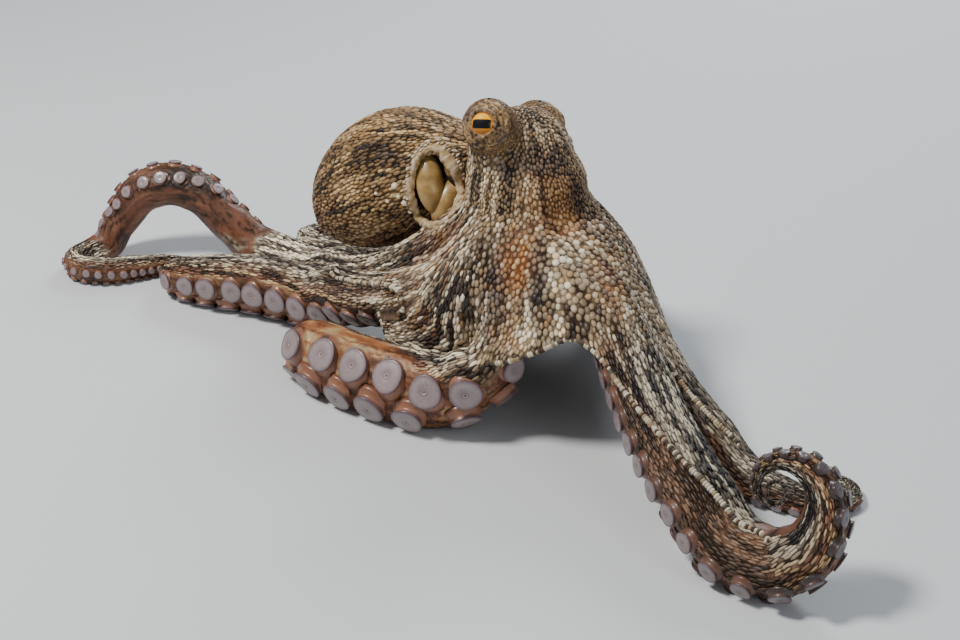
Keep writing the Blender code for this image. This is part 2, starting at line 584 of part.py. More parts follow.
def mantle_and_collar(wider_head, wider_arms):
    """The mantle, its open side pocket and the two smooth lobes in it; returns the lobes' clearances."""
    mantle = mantle_body("mantle", SKIN)
    pocket = ellipsoid("pocket", POCKET, POCKET_RADII, 0.0, None)
    cut(mantle, wider_head, pocket)
    keep_largest(mantle)
    discard(pocket)
    lobes = (("collar_lobe", (-0.0045, 0.0015, 0.0035), (0.0098, 0.0215, 0.0085), -0.10),
             ("funnel", (0.0075, -0.0010, -0.0100), (0.0098, 0.0185, 0.0085), 0.45))
    earlier = [wider_head]
    for name, offset, radii, roll in lobes:
        centre = POCKET + np.array(offset)
        lobe = ellipsoid(name, centre, radii, roll, COLLAR_FLESH)
        cut(lobe, *earlier, *wider_arms)
        wider_lobe = ellipsoid("wider_" + name, centre, [r + GAP * 1.3 for r in radii], roll, None)
        cut(mantle, wider_lobe)
        earlier.append(wider_lobe)
    keep_largest(mantle)
    return earlier[1:]


def clearance(name, arm):
    """The upper arm grown by the gap, as far as webs and neighbours touch it, to cut them clear of it."""
    reach = max([web[2] for web in WEBS if web[1] == name] + [web[4] for web in WEBS if web[3] == name])
    places = arm.even_places()
    return arm_solid(name + "_clearance", arm, places[places < reach + 0.055], None, grow=GAP)


def arm_lengths(arms, wider_head, wider_mantle, wider):
    """Each arm in a few lengths from crown to tip, with its larger suckers, clear of its neighbours."""
    for i, name in enumerate(AROUND):
        arm = arms[name]
        s = arm.even_places()
        joints = arm.joints(s, LENGTHS[name])
        for k in range(LENGTHS[name]):
            last = k == LENGTHS[name] - 1
            places = s[joints[k]:joints[k + 1] + 1].copy()
            places[0] += GAP / 2 if k else 0.0
            places[-1] -= 0.0 if last else GAP / 2
            label = "tip" if last else LENGTH_NAMES[k]
            piece = arm_solid(f"{name}_{label}", arm, places, ARM_SKIN, rounded_end=last)
            if name in SUCKER_SHARE:
                start = max(places[0], STUDS_FROM[name])
                studs = sucker_studs("studs", arm, SUCKER_SHARE[name], start, places[-1])
                if studs:
                    boolean(piece, studs, "UNION")
                    discard(studs)
            cut(piece, wider_head, wider_mantle, *[wider[other] for other in AROUND[:i]])
            keep_largest(piece)


def webs(arms, neighbours):
    for web in WEBS:
        obj = sheet(web[0], web_grid(arms, web), WEB_THICKNESS, WEB_SKIN)
        cut(obj, *neighbours)
        for name in (web[1], web[3]):
            if name not in SUCKER_SHARE:
                continue
            start, end = STUDS_FROM[name], arms[name].length
            studs = sucker_studs("wider_studs", arms[name], SUCKER_SHARE[name], start, end, grow=GAP)
            cut(obj, studs)
            discard(studs)
        keep_largest(obj)


def stand_on_the_origin(objects):
    """Moves the model so that its box is centred on the Z axis and stands on Z = 0."""
    points = np.concatenate([np.array([v.co for v in obj.data.vertices]) for obj in objects])
    low, high = points.min(0), points.max(0)
    shift = -np.array(((low[0] + high[0]) / 2, (low[1] + high[1]) / 2, low[2]))
    for obj in objects:
        obj.data.transform(Matrix.Translation(shift))


def main():
    clear()
    arms = {name: Arm(stations) for name, stations in arm_routes().items()}
    wider_head = head_body("wider_head", None, GAP)
    wider_mantle = mantle_body("wider_mantle", None, grow=GAP)
    wider = {name: clearance(name, arm) for name, arm in arms.items()}
    head_and_eyes()
    wider_lobes = mantle_and_collar(wider_head, [wider[name] for name in AROUND])
    arm_lengths(arms, wider_head, wider_mantle, wider)
    neighbours = [wider_head, wider_mantle, *wider_lobes, *[wider[name] for name in AROUND]]
    webs(arms, neighbours)
    discard(*neighbours)
    stand_on_the_origin(list(bpy.data.objects))
    for obj in bpy.data.objects:
        obj.data.shade_smooth()
        obj.data.set_sharp_from_angle(angle=math.radians(55))


main()
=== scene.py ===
"""The looks of the octopus: one seamless pebbled skin, its suckers, eyes and pocket lobes, on a pale floor.

The body's shape is worked out from the same named sizes as the solids, in the modeller's own coordinates.
PLACE carries those coordinates into the row frame.  Lengths are metres unless a name or comment says mm.
"""
import math

import bmesh
import bpy
import numpy as np
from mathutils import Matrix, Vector


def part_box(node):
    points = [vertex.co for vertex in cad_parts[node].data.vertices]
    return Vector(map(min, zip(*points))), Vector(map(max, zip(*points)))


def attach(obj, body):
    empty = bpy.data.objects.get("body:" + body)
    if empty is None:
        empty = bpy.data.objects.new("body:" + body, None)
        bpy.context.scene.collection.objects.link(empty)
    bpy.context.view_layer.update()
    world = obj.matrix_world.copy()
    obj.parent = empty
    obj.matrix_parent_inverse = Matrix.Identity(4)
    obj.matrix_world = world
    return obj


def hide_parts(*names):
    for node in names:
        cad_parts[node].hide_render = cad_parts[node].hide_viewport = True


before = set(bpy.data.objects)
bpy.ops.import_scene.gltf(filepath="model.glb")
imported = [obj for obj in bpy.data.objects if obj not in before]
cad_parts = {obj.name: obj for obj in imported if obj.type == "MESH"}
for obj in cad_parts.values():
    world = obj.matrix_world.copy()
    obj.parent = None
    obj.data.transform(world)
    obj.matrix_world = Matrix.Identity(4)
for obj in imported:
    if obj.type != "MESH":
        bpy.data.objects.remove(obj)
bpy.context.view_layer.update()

# ---------------------------------------------------------------- sizes shared with the solids
CROWN = np.array((0.034, 0.066, 0.122))
CROWN_RADIUS = 0.037
ROOT_HALF = 0.0125                 # half width and depth of an arm where it begins
EYE_RADIUS = 0.0112
MOUND_RADIUS = 0.0182
MOUND_RIGHT = np.array((0.0062, 0.0500, 0.1935))
MOUND_LEFT = np.array((0.0385, 0.0875, 0.1790))
EYE_OUT = 0.0082                   # from a mound's centre to its eye's, along the look
LOOK_RIGHT = np.array((-0.29, -0.87, 0.40))
MANTLE_NECK = np.array((0.0040, 0.1060, 0.1535))
MANTLE_APEX = np.array((-0.1180, 0.2000, 0.0640))
MANTLE_RADIUS = 0.0480
MANTLE_ARCH = 0.010                # how far the mantle's line bows up between neck and apex
WEB_THICKNESS = 0.0036
WEB_RIDE = 0.62                    # where a web's side edge meets an arm, over the arm's half width and depth
ORAL_FLATNESS = 0.80               # depth of an arm's under side over the depth of its back
SETTLE = (0.0040, 0.0170)          # an arm this near the floor lies on it, and past the second stays up
PRESS = 0.0009                     # how far a lying arm is pressed into the floor
POCKET = np.array((-0.0310, 0.1005, 0.1283))
POCKET_RADII = np.array((0.0175, 0.0270, 0.0150))
POCKET_LIFT = math.radians(27)     # how far the pocket's face leans back
HEAD_CENTRE = np.array((0.030, 0.068, 0.145))
HEAD_BLOBS = [                     # the egg shapes that run together into the head: middle, radii
    ((0.027, 0.071, 0.168), (0.032, 0.032, 0.029)),
    ((0.032, 0.067, 0.145), (0.041, 0.041, 0.030)),
    (tuple(CROWN), (0.048, 0.048, 0.024)),
    ((0.0125, 0.0590, 0.1780), (0.0190, 0.0200, 0.0190)),
    ((0.0390, 0.0835, 0.1690), (0.0185, 0.0185, 0.0180)),
]
HEAD_BLEND = 0.0060

# ---------------------------------------------------------------- sizes of the looks
VOXEL = 0.0016                     # grain of the first skin, before it is thinned
PIECE_TRIANGLES = 190000           # the most in one piece, for the skin and for each piece of pebbles
COAT_DEPTH = 0.0005                # how far an arm's skin lies under its solid, to leave room for pebbles
# Each arm's sucker radius over the arm's half width, then how much larger the visual ones are made.
SUCKER_SHARE = dict(arm_r1=0.34, arm_r2=0.385, arm_r3=0.34, arm_r4=0.27,
                    arm_l1=0.34, arm_l2=0.33, arm_l3=0.33, arm_l4=0.33)
SUCKER_SWELL = dict(arm_r2=1.13, arm_r3=1.13, arm_r1=1.06)
SUCKER_PITCH = 1.28                # distance to the next sucker, over the radius
SUCKER_ROW = 0.47                  # how far each row stands from the arm's midline, over the half width
SUCKER_SINK = 0.46                 # how far a sucker's stalk reaches into the arm, over the radius
LARGE_SUCKER = 0.0042              # suckers over this radius get the finer profile
VISIBLE_IRIS = 0.0074              # radius of the iris between the lids
PEBBLE_SPACING = 1.30              # least distance between pebbles, over their half sizes
UNDER_LIMIT = 0.30                 # share of under side from which the skin bears no pebbles
SKIN_DROP = 0.0003                 # how far the skin between the pebbles is lowered
BEAD_STEP = 0.0020                 # from one bead of a rope to the next
BEAD_HALF = (0.0019, 0.0020, 0.0014)   # a bead's half sizes across, up and along its rope
LID_SPAN = math.radians(78)        # how far from the look the fine skin round an eye reaches
# The web's free edge lies over arm R1's near side: distances along the arm, and oral shares there.
ROPE_LINE = ((0.115, 0.190, 0.280, 0.312), (0.40, -0.13, -0.69, -0.72))
FOLD_WIDTH = 0.0030                # the web's fold, and the dark band beside it
FOLD_SHADE_WIDTH = 0.0056
FOLD_SHADE_SIDE = (0.0040, 0.0034, 0.0042)   # from the middle of the dark band beside the fold to the fold
MOUTH = CROWN - (-0.010, 0.0, 0.085)     # skin that faces this place is the webs' inner side
HEAD_TOP = HEAD_CENTRE + (0, 0, 0.060)   # the head's markings run down from here
WEB_FAN = CROWN - (0, 0, 0.06)     # the webs bulge away from here
# Single beads: place, radius and rise.
WARTS = [((-0.060, 0.103, 0.129), 0.0029, 0.0019), ((-0.054, 0.102, 0.116), 0.0031, 0.0020),
         ((-0.058, 0.102, 0.121), 0.0021, 0.0015), ((-0.050, 0.102, 0.108), 0.0022, 0.0014),
         ((-0.066, 0.104, 0.116), 0.0019, 0.0013), ((-0.074, 0.107, 0.121), 0.0017, 0.0012),
         ((0.006, 0.051, 0.2125), 0.0011, 0.0012), ((0.040, 0.088, 0.1975), 0.0011, 0.0012)]

RNG = np.random.default_rng(7)


# ---------------------------------------------------------------- small vector helpers
def unit(v):
    v = np.asarray(v, float)
    return v / np.maximum(np.linalg.norm(v, axis=-1, keepdims=True), 1e-12)


def smoothstep(x):
    x = np.clip(x, 0.0, 1.0)
    return x * x * (3.0 - 2.0 * x)


def rises(x, start, over):
    """0 below start, 1 past start + over, with a smooth step between."""
    return smoothstep((x - start) / over)


def falls(x, end, over):
    """1 below end - over, 0 past end, with a smooth step between."""
    return smoothstep((end - x) / over)


def bell(x, middle, width):
    """1 where x is at the middle, falling as a bell curve of that width to both sides."""
    return np.exp(-((x - middle) / width) ** 2)


def mixed(a, b, t):
    """a where t is 0, b where t is 1; a and b may have one more axis than t."""
    t = np.asarray(t, float)
    if max(np.ndim(a), np.ndim(b)) > t.ndim:
        t = t[..., None]
    return a * (1 - t) + b * t


def tint(red, green, blue):
    """A colour given as it looks on a screen (0 to 255), as linear light."""
    c = np.array((red, green, blue), float) / 255
    return np.where(c <= 0.04045, c / 12.92, ((c + 0.055) / 1.055) ** 2.4)


def through(points, per_span=24):
    """A dense smooth curve through the points: centripetal Catmull-Rom, spaced by the first three columns."""
    p = np.asarray(points, float)
    p = np.vstack([2 * p[0] - p[1], p, 2 * p[-1] - p[-2]])
    knots = np.concatenate([[0], np.cumsum(np.linalg.norm(np.diff(p[:, :3], axis=0), axis=1) ** 0.5)])
    rows = []
    for i in range(1, len(p) - 2):
        t0, t1, t2, t3 = knots[i - 1:i + 3]
        t = np.linspace(t1, t2, per_span, endpoint=False)[:, None]
        a1 = (t1 - t) / (t1 - t0) * p[i - 1] + (t - t0) / (t1 - t0) * p[i]
        a2 = (t2 - t) / (t2 - t1) * p[i] + (t - t1) / (t2 - t1) * p[i + 1]
        a3 = (t3 - t) / (t3 - t2) * p[i + 1] + (t - t2) / (t3 - t2) * p[i + 2]
        b1 = (t2 - t) / (t2 - t0) * a1 + (t - t0) / (t2 - t0) * a2
        b2 = (t3 - t) / (t3 - t1) * a2 + (t - t1) / (t3 - t1) * a3
        rows.append((t2 - t) / (t2 - t1) * b1 + (t - t1) / (t2 - t1) * b2)
    return np.vstack(rows + [p[-2][None]])


def lattice(ijk, seed):
    """A fixed value from 0 to 1 for each whole-number place."""
    h = ijk[..., 0] * 374761393 + ijk[..., 1] * 668265263 + ijk[..., 2] * 2147483647 + seed * 974634777
    h = (h ^ (h >> 13)) * 1274126177
    return ((h ^ (h >> 16)) & 0xFFFFF) / 0xFFFFF


def noise(points, size, seed):
    """Smooth noise from 0 to 1 with lumps about `size` across: lattice values, blended in all directions."""
    q = points / size
    base = np.floor(q).astype(np.int64)
    f = smoothstep(q - base)
    total = np.zeros(len(points))
    for corner in np.ndindex(2, 2, 2):
        weight = np.prod(np.where(corner, f, 1 - f), axis=1)
        total += weight * lattice(base + corner, seed)
    return total


def drawn_noise(points, flow, size, reach, seed):
    """Noise drawn out as streaks: its mean over a short stretch of the flow, with its contrast put back."""
    steps = np.linspace(-1, 1, 7)
    total = sum(noise(points + flow * (k * reach), size, seed) for k in steps) / len(steps)
    return np.clip(0.5 + (total - 0.5) * 2.4, 0, 1)


# ---------------------------------------------------------------- the arms' routes, as in the solids
def at(x, y, z, oral, side, depth):
    """One place on an arm: its centre, the way its suckers face, half its width and half its depth, in mm."""
    return np.concatenate([np.array((x, y, z)) / 1000, unit(oral), (side / 1000, depth / 1000)])


def root(angle_deg):
    """The place on the crown's ring where an arm begins, suckers facing the mouth and the floor."""
    a = math.radians(angle_deg)
    outward = np.array((math.cos(a), math.sin(a), 0.0))
    return np.concatenate([CROWN + CROWN_RADIUS * outward, unit(-0.5 * outward + (0, 0, -1.0)),
                           (ROOT_HALF, ROOT_HALF)])


def coil(centre, radius, thickness, turns, lean_deg, yaw_deg, advance):
    """A coiled arm end on its edge, from its lowest place round to its middle; suckers face outwards.

    Radius and thickness are millimetres at the start, and each shrinks by a fixed share every quarter turn.
    """
    lean, yaw = math.radians(lean_deg), math.radians(yaw_deg)
    across = np.array((math.cos(yaw), -math.sin(yaw), 0.0))
    level = np.array((-math.sin(yaw), -math.cos(yaw), 0.0))
    upward = -math.sin(lean) * level + (0, 0, math.cos(lean))
    toward = math.cos(lean) * level + (0, 0, math.sin(lean))
    steps = int(round(turns * 12))
    rows = []
    for i in range(1, steps + 1):
        quarter = 4.0 * turns * i / steps
        r = (0.10 + 0.90 * 0.55 ** quarter) * (1.0 - 0.030 * quarter) * radius
        depth = 1.0 + (thickness - 1.0) * 0.47 ** quarter
        side = 1.0 + (0.80 * thickness - 1.0) * 0.62 ** quarter
        angle = -math.pi / 2 + quarter * math.pi / 2
        outward = math.cos(angle) * across + math.sin(angle) * upward
        point = np.asarray(centre, float) + r * outward + toward * advance * i / steps
        rows.append(at(*point, outward + 0.12 * toward, side, depth))
    return rows


def arm_routes():
    """Each arm's places from the crown to its tip."""
    return {
        "arm_r1": [
            root(-62), at(79, -7, 98, (-0.55, 0.1, -0.85), 16, 18),
            at(95, -60, 72, (-0.7, -0.2, -0.7), 19, 22),
            at(110, -110, 51, (-0.8, -0.3, -0.6), 21, 24), at(127, -155, 36, (-0.7, -0.45, -0.6), 21, 25),
            at(151, -190, 25, (-0.4, -0.6, -0.75), 19, 24.5),
            *coil((168, -190, 65), 50, 27, 2.1, 20, 22, 10)],
        "arm_l1": [
            root(-18), at(86, 23, 101, (-0.6, -0.3, -0.8), 15, 16),
            at(105, -14, 74, (-0.6, -0.4, -0.8), 16, 17),
            at(129, -53, 45, (-0.5, -0.5, -0.7), 17, 17), at(157, -85, 24, (-0.2, -0.6, -0.8), 16, 16),
            at(185, -108, 14, (0.1, -0.6, -0.8), 12.5, 12.5), at(212, -118, 10, (0.3, -0.5, -0.8), 10, 9),
            at(231, -111, 7, (0.5, -0.2, -0.8), 7.5, 7), at(235, -93, 5, (0.4, 0.3, -0.8), 5.5, 5),
            at(224, -80, 4, (0.1, 0.4, -0.8), 4, 3.6), at(209, -83, 3, (-0.4, 0.2, -0.8), 2.8, 2.6),
            at(205, -94, 2, (-0.4, -0.2, -0.8), 1.6, 1.5)],
        "arm_l2": [
            root(27), at(80, 102, 92, (-0.4, -0.2, -0.9), 15, 15), at(96, 130, 52, (-0.3, -0.2, -1), 17, 16),
            at(106, 168, 22, (0, -0.2, -1), 17, 15), at(108, 197, 16, (0.1, -0.2, -1), 14.5, 13.5),
            at(95, 221, 12, (0.1, 0.1, -1), 11.5, 10.5), at(75, 222, 9, (0.2, 0.2, -1), 8.5, 8),
            at(70, 204, 6.5, (0.3, -0.1, -1), 6.2, 6), at(82, 193, 4.5, (0.1, -0.3, -1), 4.4, 4),
            at(93, 200, 3, (-0.2, -0.1, -1), 2.8, 2.4), at(90, 210, 2, (-0.2, 0.1, -1), 1.6, 1.5)],
        "arm_l3": [
            root(72), at(56, 138, 88, (-0.1, -0.4, -0.9), 15, 15), at(53, 174, 48, (-0.1, -0.4, -1), 17, 16),
            at(34, 230, 18, (0.1, -0.2, -1), 17, 15), at(8, 274, 15, (0.1, -0.1, -1), 15, 13),
            at(-32, 290, 12, (0.1, 0.2, -1), 12, 11), at(-60, 272, 8, (0.4, 0.3, -0.9), 9, 8),
            at(-50, 248, 6, (0.3, -0.4, -0.9), 6, 5.5), at(-30, 250, 4, (-0.2, -0.4, -0.9), 4, 3.4),
            at(-25, 262, 2, (-0.5, 0.2, -0.9), 2, 1.7)],
        "arm_l4": [
            root(117), at(10, 134, 84, (0.1, -0.4, -0.9), 15, 15), at(-6, 168, 44, (0.2, -0.4, -1), 17, 16),
            at(-38, 214, 18, (0.1, -0.2, -1), 17, 15), at(-88, 238, 15, (0, -0.1, -1), 15, 13),
            at(-128, 262, 12, (0.1, 0, -1), 12, 11), at(-146, 294, 9, (0.5, 0.2, -0.8), 9, 8),
            at(-124, 312, 6, (0.3, -0.6, -0.8), 6, 5.5), at(-108, 298, 4, (-0.5, -0.5, -0.8), 4, 3.4),
            at(-116, 286, 2, (-0.5, 0.3, -0.8), 2, 1.7)],
        "arm_r4": [
            root(162), at(-38, 86, 86, (0.4, -0.1, -0.9), 15, 15), at(-78, 122, 50, (0.3, 0, -1), 18, 16),
            at(-122, 190, 26, (0.2, 0.5, -0.9), 18, 16), at(-170, 241, 21, (0.4, 0.8, -0.5), 18, 17),
            at(-202, 256, 34, (0.85, 0.45, -0.1), 19, 17.5), at(-225, 266, 55, (0.75, -0.1, 0.6), 19, 18.5),
            at(-252, 270, 63, (0, -0.35, 1), 19, 19), at(-277, 270, 55, (-0.7, -0.35, 0.6), 18.5, 18.5),
            at(-291, 269, 38, (-0.95, -0.3, 0.1), 17, 17),
            at(-303, 262, 22, (-0.9, -0.1, -0.2), 14.5, 14.5),
            at(-318, 250, 13, (-0.8, 0.3, -0.5), 12, 12), at(-327, 234, 12, (-1, -0.2, -0.4), 11.5, 11.5),
            at(-319, 218, 12, (-0.5, -0.85, -0.35), 11.5, 11.5),
            at(-297, 214, 12, (0, -0.9, -0.45), 11.5, 12),
            at(-276, 222, 11, (0, -0.85, -0.5), 10.5, 11), at(-256, 232, 9, (0.2, -0.8, -0.5), 9, 9),
            at(-240, 241, 6.5, (0.3, -0.7, -0.5), 6.2, 6), at(-227, 246, 3, (0.3, -0.7, -0.5), 3, 2.8)],
        "arm_r3": [
            root(207), at(-26, 46, 86, (0.4, -0.3, -0.9), 16, 16), at(-66, 78, 53, (0.3, -0.7, -0.7), 20, 19),
            at(-112, 130, 32, (0.1, -0.86, -0.45), 25, 23), at(-164, 162, 28, (0, -0.86, -0.45), 25, 23),
            at(-204, 176, 25, (-0.2, -0.86, -0.45), 22, 21), at(-234, 192, 20, (-0.8, -0.4, -0.5), 17, 17),
            at(-240, 210, 14, (-0.6, 0.4, -0.7), 12, 11), at(-224, 218, 9, (0, 0.6, -0.8), 8, 7.5),
            at(-206, 212, 6, (0.1, 0.6, -0.8), 5.2, 5), at(-188, 207, 4, (0, 0.6, -0.8), 3.2, 3),
            at(-175, 204, 2, (0, 0.6, -0.8), 1.6, 1.5)],
        "arm_r2": [
            root(252), at(16, 6, 93, (0.3, 0.2, -0.9), 17, 16), at(15, -7, 64, (0.4, -0.2, -0.9), 21, 18),
            at(4, -16, 43, (0.3, -0.7, -0.55), 25, 21), at(-36, -9, 32, (0.1, -0.98, 0.02), 27, 24),
            at(-84, 20, 31, (-0.3, -0.95, 0.08), 27, 24), at(-116, 50, 30, (-0.7, -0.65, -0.02), 25, 23),
            at(-123, 72, 20, (-0.9, 0.2, -0.4), 17, 17), at(-107, 86, 12, (-0.2, 0.5, -0.8), 12, 11.5),
            at(-84, 78, 9, (0.1, 0.5, -0.8), 9, 8.5), at(-62, 64, 7, (0, 0.5, -0.8), 6.4, 6),
            at(-40, 56, 5, (0, 0.5, -0.8), 4.4, 4.2), at(-22, 62, 3, (-0.3, 0.4, -0.8), 2.8, 2.6),
            at(-18, 75, 2, (-0.5, 0.2, -0.8), 1.6, 1.5)],
    }


AROUND = ["arm_r1", "arm_r2", "arm_r3", "arm_r4", "arm_l4", "arm_l3", "arm_l2", "arm_l1"]
# Each web joins two arms: (arm, its reach along it, next arm, its reach, recess of the margin, bulge)
WEBS = [
    ("web_r1_r2", "arm_r1", 0.255, "arm_r2", 0.108, 0.50, 0.010),
    ("web_r2_r3", "arm_r2", 0.165, "arm_r3", 0.110, 0.06, 0.012),
    ("web_r3_r4", "arm_r3", 0.170, "arm_r4", 0.190, 0.16, 0.004),
    ("web_r4_l4", "arm_r4", 0.140, "arm_l4", 0.140, 0.34, 0.006),
    ("web_l4_l3", "arm_l4", 0.140, "arm_l3", 0.140, 0.34, 0.008),
    ("web_l3_l2", "arm_l3", 0.140, "arm_l2", 0.140, 0.34, 0.008),
    ("web_l2_l1", "arm_l2", 0.150, "arm_l1", 0.170, 0.34, 0.008),
    ("web_l1_r1", "arm_l1", 0.205, "arm_r1", 0.235, 0.42, 0.004),
]


class Arm:
    """An arm's route with its frame at any distance from the crown."""

    def __init__(self, stations):
        self.rows = through(stations)
        self.measure()
        _, _, oral, side, half, depth = self.frame(self.along)
        low = 0.95 * np.hypot(half * side[:, 2], ORAL_FLATNESS * depth * oral[:, 2])
        clear = self.rows[:, 2] - low
        hold = smoothstep((clear - SETTLE[0]) / (SETTLE[1] - SETTLE[0]))
        self.rows[:, 2] = low + clear * hold - PRESS * (1 - hold)
        self.measure()

    def measure(self):
        step = np.linalg.norm(np.diff(self.rows[:, :3], axis=0), axis=1)
        self.along = np.concatenate([[0], np.cumsum(step)])
        self.length = float(self.along[-1])

    def frame(self, s):
        """Centre, tangent, oral and side directions, half width and half depth at the distances s."""
        s = np.atleast_1d(np.asarray(s, float))
        pick = lambda x: np.stack([np.interp(x, self.along, self.rows[:, k]) for k in range(8)], axis=1)
        row = pick(s)
        ahead, behind = pick(np.minimum(s + 0.002, self.length)), pick(np.maximum(s - 0.002, 0.0))
        tangent = unit(ahead[:, :3] - behind[:, :3])
        oral = row[:, 3:6] - (row[:, 3:6] * tangent).sum(1)[:, None] * tangent
        oral = unit(oral)
        return row[:, :3], tangent, oral, np.cross(tangent, oral), row[:, 6], row[:, 7]


ARMS = {name: Arm(stations) for name, stations in arm_routes().items()}


def eye_places():
    """Each eye's name, its mound's centre, its own centre and its look."""
    across = unit(MOUND_RIGHT - MOUND_LEFT)
    look = unit(LOOK_RIGHT)
    mirrored = look - 2 * float(look @ across) * across
    return [("eye_right", MOUND_RIGHT, MOUND_RIGHT + EYE_OUT * look, look),
            ("eye_left", MOUND_LEFT, MOUND_LEFT + EYE_OUT * mirrored, mirrored)]


EYES = eye_places()
RIGHT_EYE_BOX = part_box("eye_right")
PLACE = np.array((RIGHT_EYE_BOX[0] + RIGHT_EYE_BOX[1]) / 2) - EYES[0][2]
PLACE[2] = 0.0


# ---------------------------------------------------------------- meshes
def mesh_object(name, verts, *faces):
    """An object from points and arrays of faces, each array holding faces with one number of corners."""
    mesh = bpy.data.meshes.new(name)
    mesh.vertices.add(len(verts))
    mesh.vertices.foreach_set("co", np.asarray(verts, np.float32).ravel())
    corners = np.concatenate([f.ravel() for f in faces]).astype(np.int32)
    sizes = np.concatenate([np.full(len(f), f.shape[1]) for f in faces]).astype(np.int32)
    mesh.loops.add(len(corners))
    mesh.loops.foreach_set("vertex_index", corners)
    mesh.polygons.add(len(sizes))
    mesh.polygons.foreach_set("loop_start", np.concatenate([[0], np.cumsum(sizes)[:-1]]).astype(np.int32))
    mesh.update(calc_edges=True)
    mesh.polygons.foreach_set("use_smooth", np.ones(len(sizes), bool))
    obj = bpy.data.objects.new(name, mesh)
    bpy.context.scene.collection.objects.link(obj)
    return obj


def tube_faces(count, sides, first=0):
    """Quads that join `count` rings of `sides` points."""
    i, j = np.meshgrid(np.arange(count - 1), np.arange(sides), indexing="ij")
    k = (j + 1) % sides
    quads = np.stack([i * sides + j, i * sides + k, (i + 1) * sides + k, (i + 1) * sides + j], -1)
    return quads.reshape(-1, 4) + first


def fan_faces(middle, first, sides, flip=False):
    """Triangles from one point to a ring of `sides` points."""
    j = np.arange(sides)
    k = (j + 1) % sides
    tris = np.stack([np.full(sides, middle), first + k, first + j], -1)
    return tris[:, ::-1] if flip else tris


def closed_tube(rings, front, back):
    """Points, quads and triangles of rings closed by a point at each end."""
    count, sides = rings.shape[:2]
    verts = np.concatenate([rings.reshape(-1, 3), [front, back]])
    n = count * sides
    tris = np.concatenate([fan_faces(n, 0, sides), fan_faces(n + 1, n - sides, sides, True)])
    return verts, tube_faces(count, sides), tris


def arm_form(arm, grow=0.0, sides=28):
    """Ellipses, flatter on the suckers' side, carried along the arm's path and closed at both ends."""
    s = np.linspace(0, 1, 260) ** 0.9 * arm.length
    centre, tangent, oral, side, half, depth = arm.frame(s)
    angle = np.linspace(0, 2 * math.pi, sides, endpoint=False)
    flat = np.where(np.sin(angle) > 0, ORAL_FLATNESS, 1.0)
    across = np.cos(angle) * (half[:, None] + grow)
    out = flat * np.sin(angle) * (depth[:, None] + grow)
    rings = centre[:, None] + across[..., None] * side[:, None] + out[..., None] * oral[:, None]
    rings[..., 2] = np.maximum(rings[..., 2], 0.0)
    tip = centre[-1] + tangent[-1] * depth[-1]
    tip[2] = max(tip[2], 0.0005)
    return closed_tube(rings, centre[0] - tangent[0] * 0.003, tip)


def web_points(web, v, t):
    """Points of a web at shares v down from the crown and t across it, from one arm's back to the other's."""
    _, first, reach_a, second, reach_b, recess, bulge = web
    margin = 1.0 - recess * np.sin(math.pi * t) ** 0.8
    ends = []
    for key, reach, hand in ((first, reach_a, -1), (second, reach_b, 1)):
        s = np.maximum(v * margin * reach, 0.0)
        centre, _, oral, side, half, depth = ARMS[key].frame(s.ravel())
        end = centre + hand * side * (WEB_RIDE * half)[:, None] - oral * (WEB_RIDE * depth)[:, None]
        ends.append(end.reshape(v.shape + (3,)))
    row = ends[0] * (1 - t)[..., None] + ends[1] * t[..., None]
    lift = bulge * np.sin(math.pi * t) * np.sin(math.pi * (0.15 + 0.70 * v))
    return row + unit(row - WEB_FAN) * lift[..., None]


def web_form(web, rows=64, cols=48):
    """The web's middle surface, thickened evenly and closed round its four edges."""
    v, t = np.meshgrid(np.linspace(0, 1, rows), np.linspace(0, 1, cols), indexing="ij")
    grid = web_points(web, v, t)
    normal = unit(np.cross(np.gradient(grid, axis=0), np.gradient(grid, axis=1)))
    verts = np.concatenate([(grid + normal * WEB_THICKNESS / 2).reshape(-1, 3),
                            (grid - normal * WEB_THICKNESS / 2).reshape(-1, 3)])
    n = rows * cols
    i, j = np.meshgrid(np.arange(rows - 1), np.arange(cols - 1), indexing="ij")
    top = np.stack([i * cols + j, i * cols + j + 1, (i + 1) * cols + j + 1, (i + 1) * cols + j], -1)
    top = top.reshape(-1, 4)
    edge = np.concatenate([np.arange(cols - 1), np.arange(rows - 1) * cols + cols - 1,
                           n - 1 - np.arange(cols - 1), (rows - 1 - np.arange(rows - 1)) * cols])
    after = np.roll(edge, -1)
    wall = np.stack([after, edge, n + edge, n + after], -1)
    return verts, np.concatenate([top, top[:, ::-1] + n, wall]), np.zeros((0, 3), int)


def blob_form(centre, blobs, rings=48, sides=72):
    """Rays from a centre, each as long as a soft maximum of how far it runs inside each egg shape."""
    theta = np.linspace(0, math.pi, rings + 1)[1:-1]
    phi = np.linspace(0, 2 * math.pi, sides, endpoint=False)
    th, ph = np.meshgrid(theta, phi, indexing="ij")
    rays = np.stack([np.sin(th) * np.cos(ph), np.sin(th) * np.sin(ph), np.cos(th)], -1).reshape(-1, 3)
    rays = np.concatenate([rays, [(0, 0, 1.0), (0, 0, -1.0)]])
    total = np.zeros(len(rays))
    for middle, radii in blobs:
        radii = np.asarray(radii, float)
        m = (np.asarray(middle, float) - centre) / radii
        d = rays / radii
        dd, dm, mm = (d * d).sum(1), d @ m, m @ m
        inside = dm * dm - dd * (mm - 1.0)
        far = np.where(inside > 0, (dm + np.sqrt(np.maximum(inside, 0))) / dd, 0.0)
        total += np.exp(far / HEAD_BLEND)
    points = centre + rays * (HEAD_BLEND * np.log(total))[:, None]
    return closed_tube(points[:-2].reshape(len(theta), sides, 3), points[-2], points[-1])


def mantle_axis():
    """The mantle's direction, length and the two directions across it."""
    axis = MANTLE_APEX - MANTLE_NECK
    length = np.linalg.norm(axis)
    axis = axis / length
    across = unit(np.cross(axis, (0, 0, 1.0)))
    return axis, length, across, np.cross(across, axis)


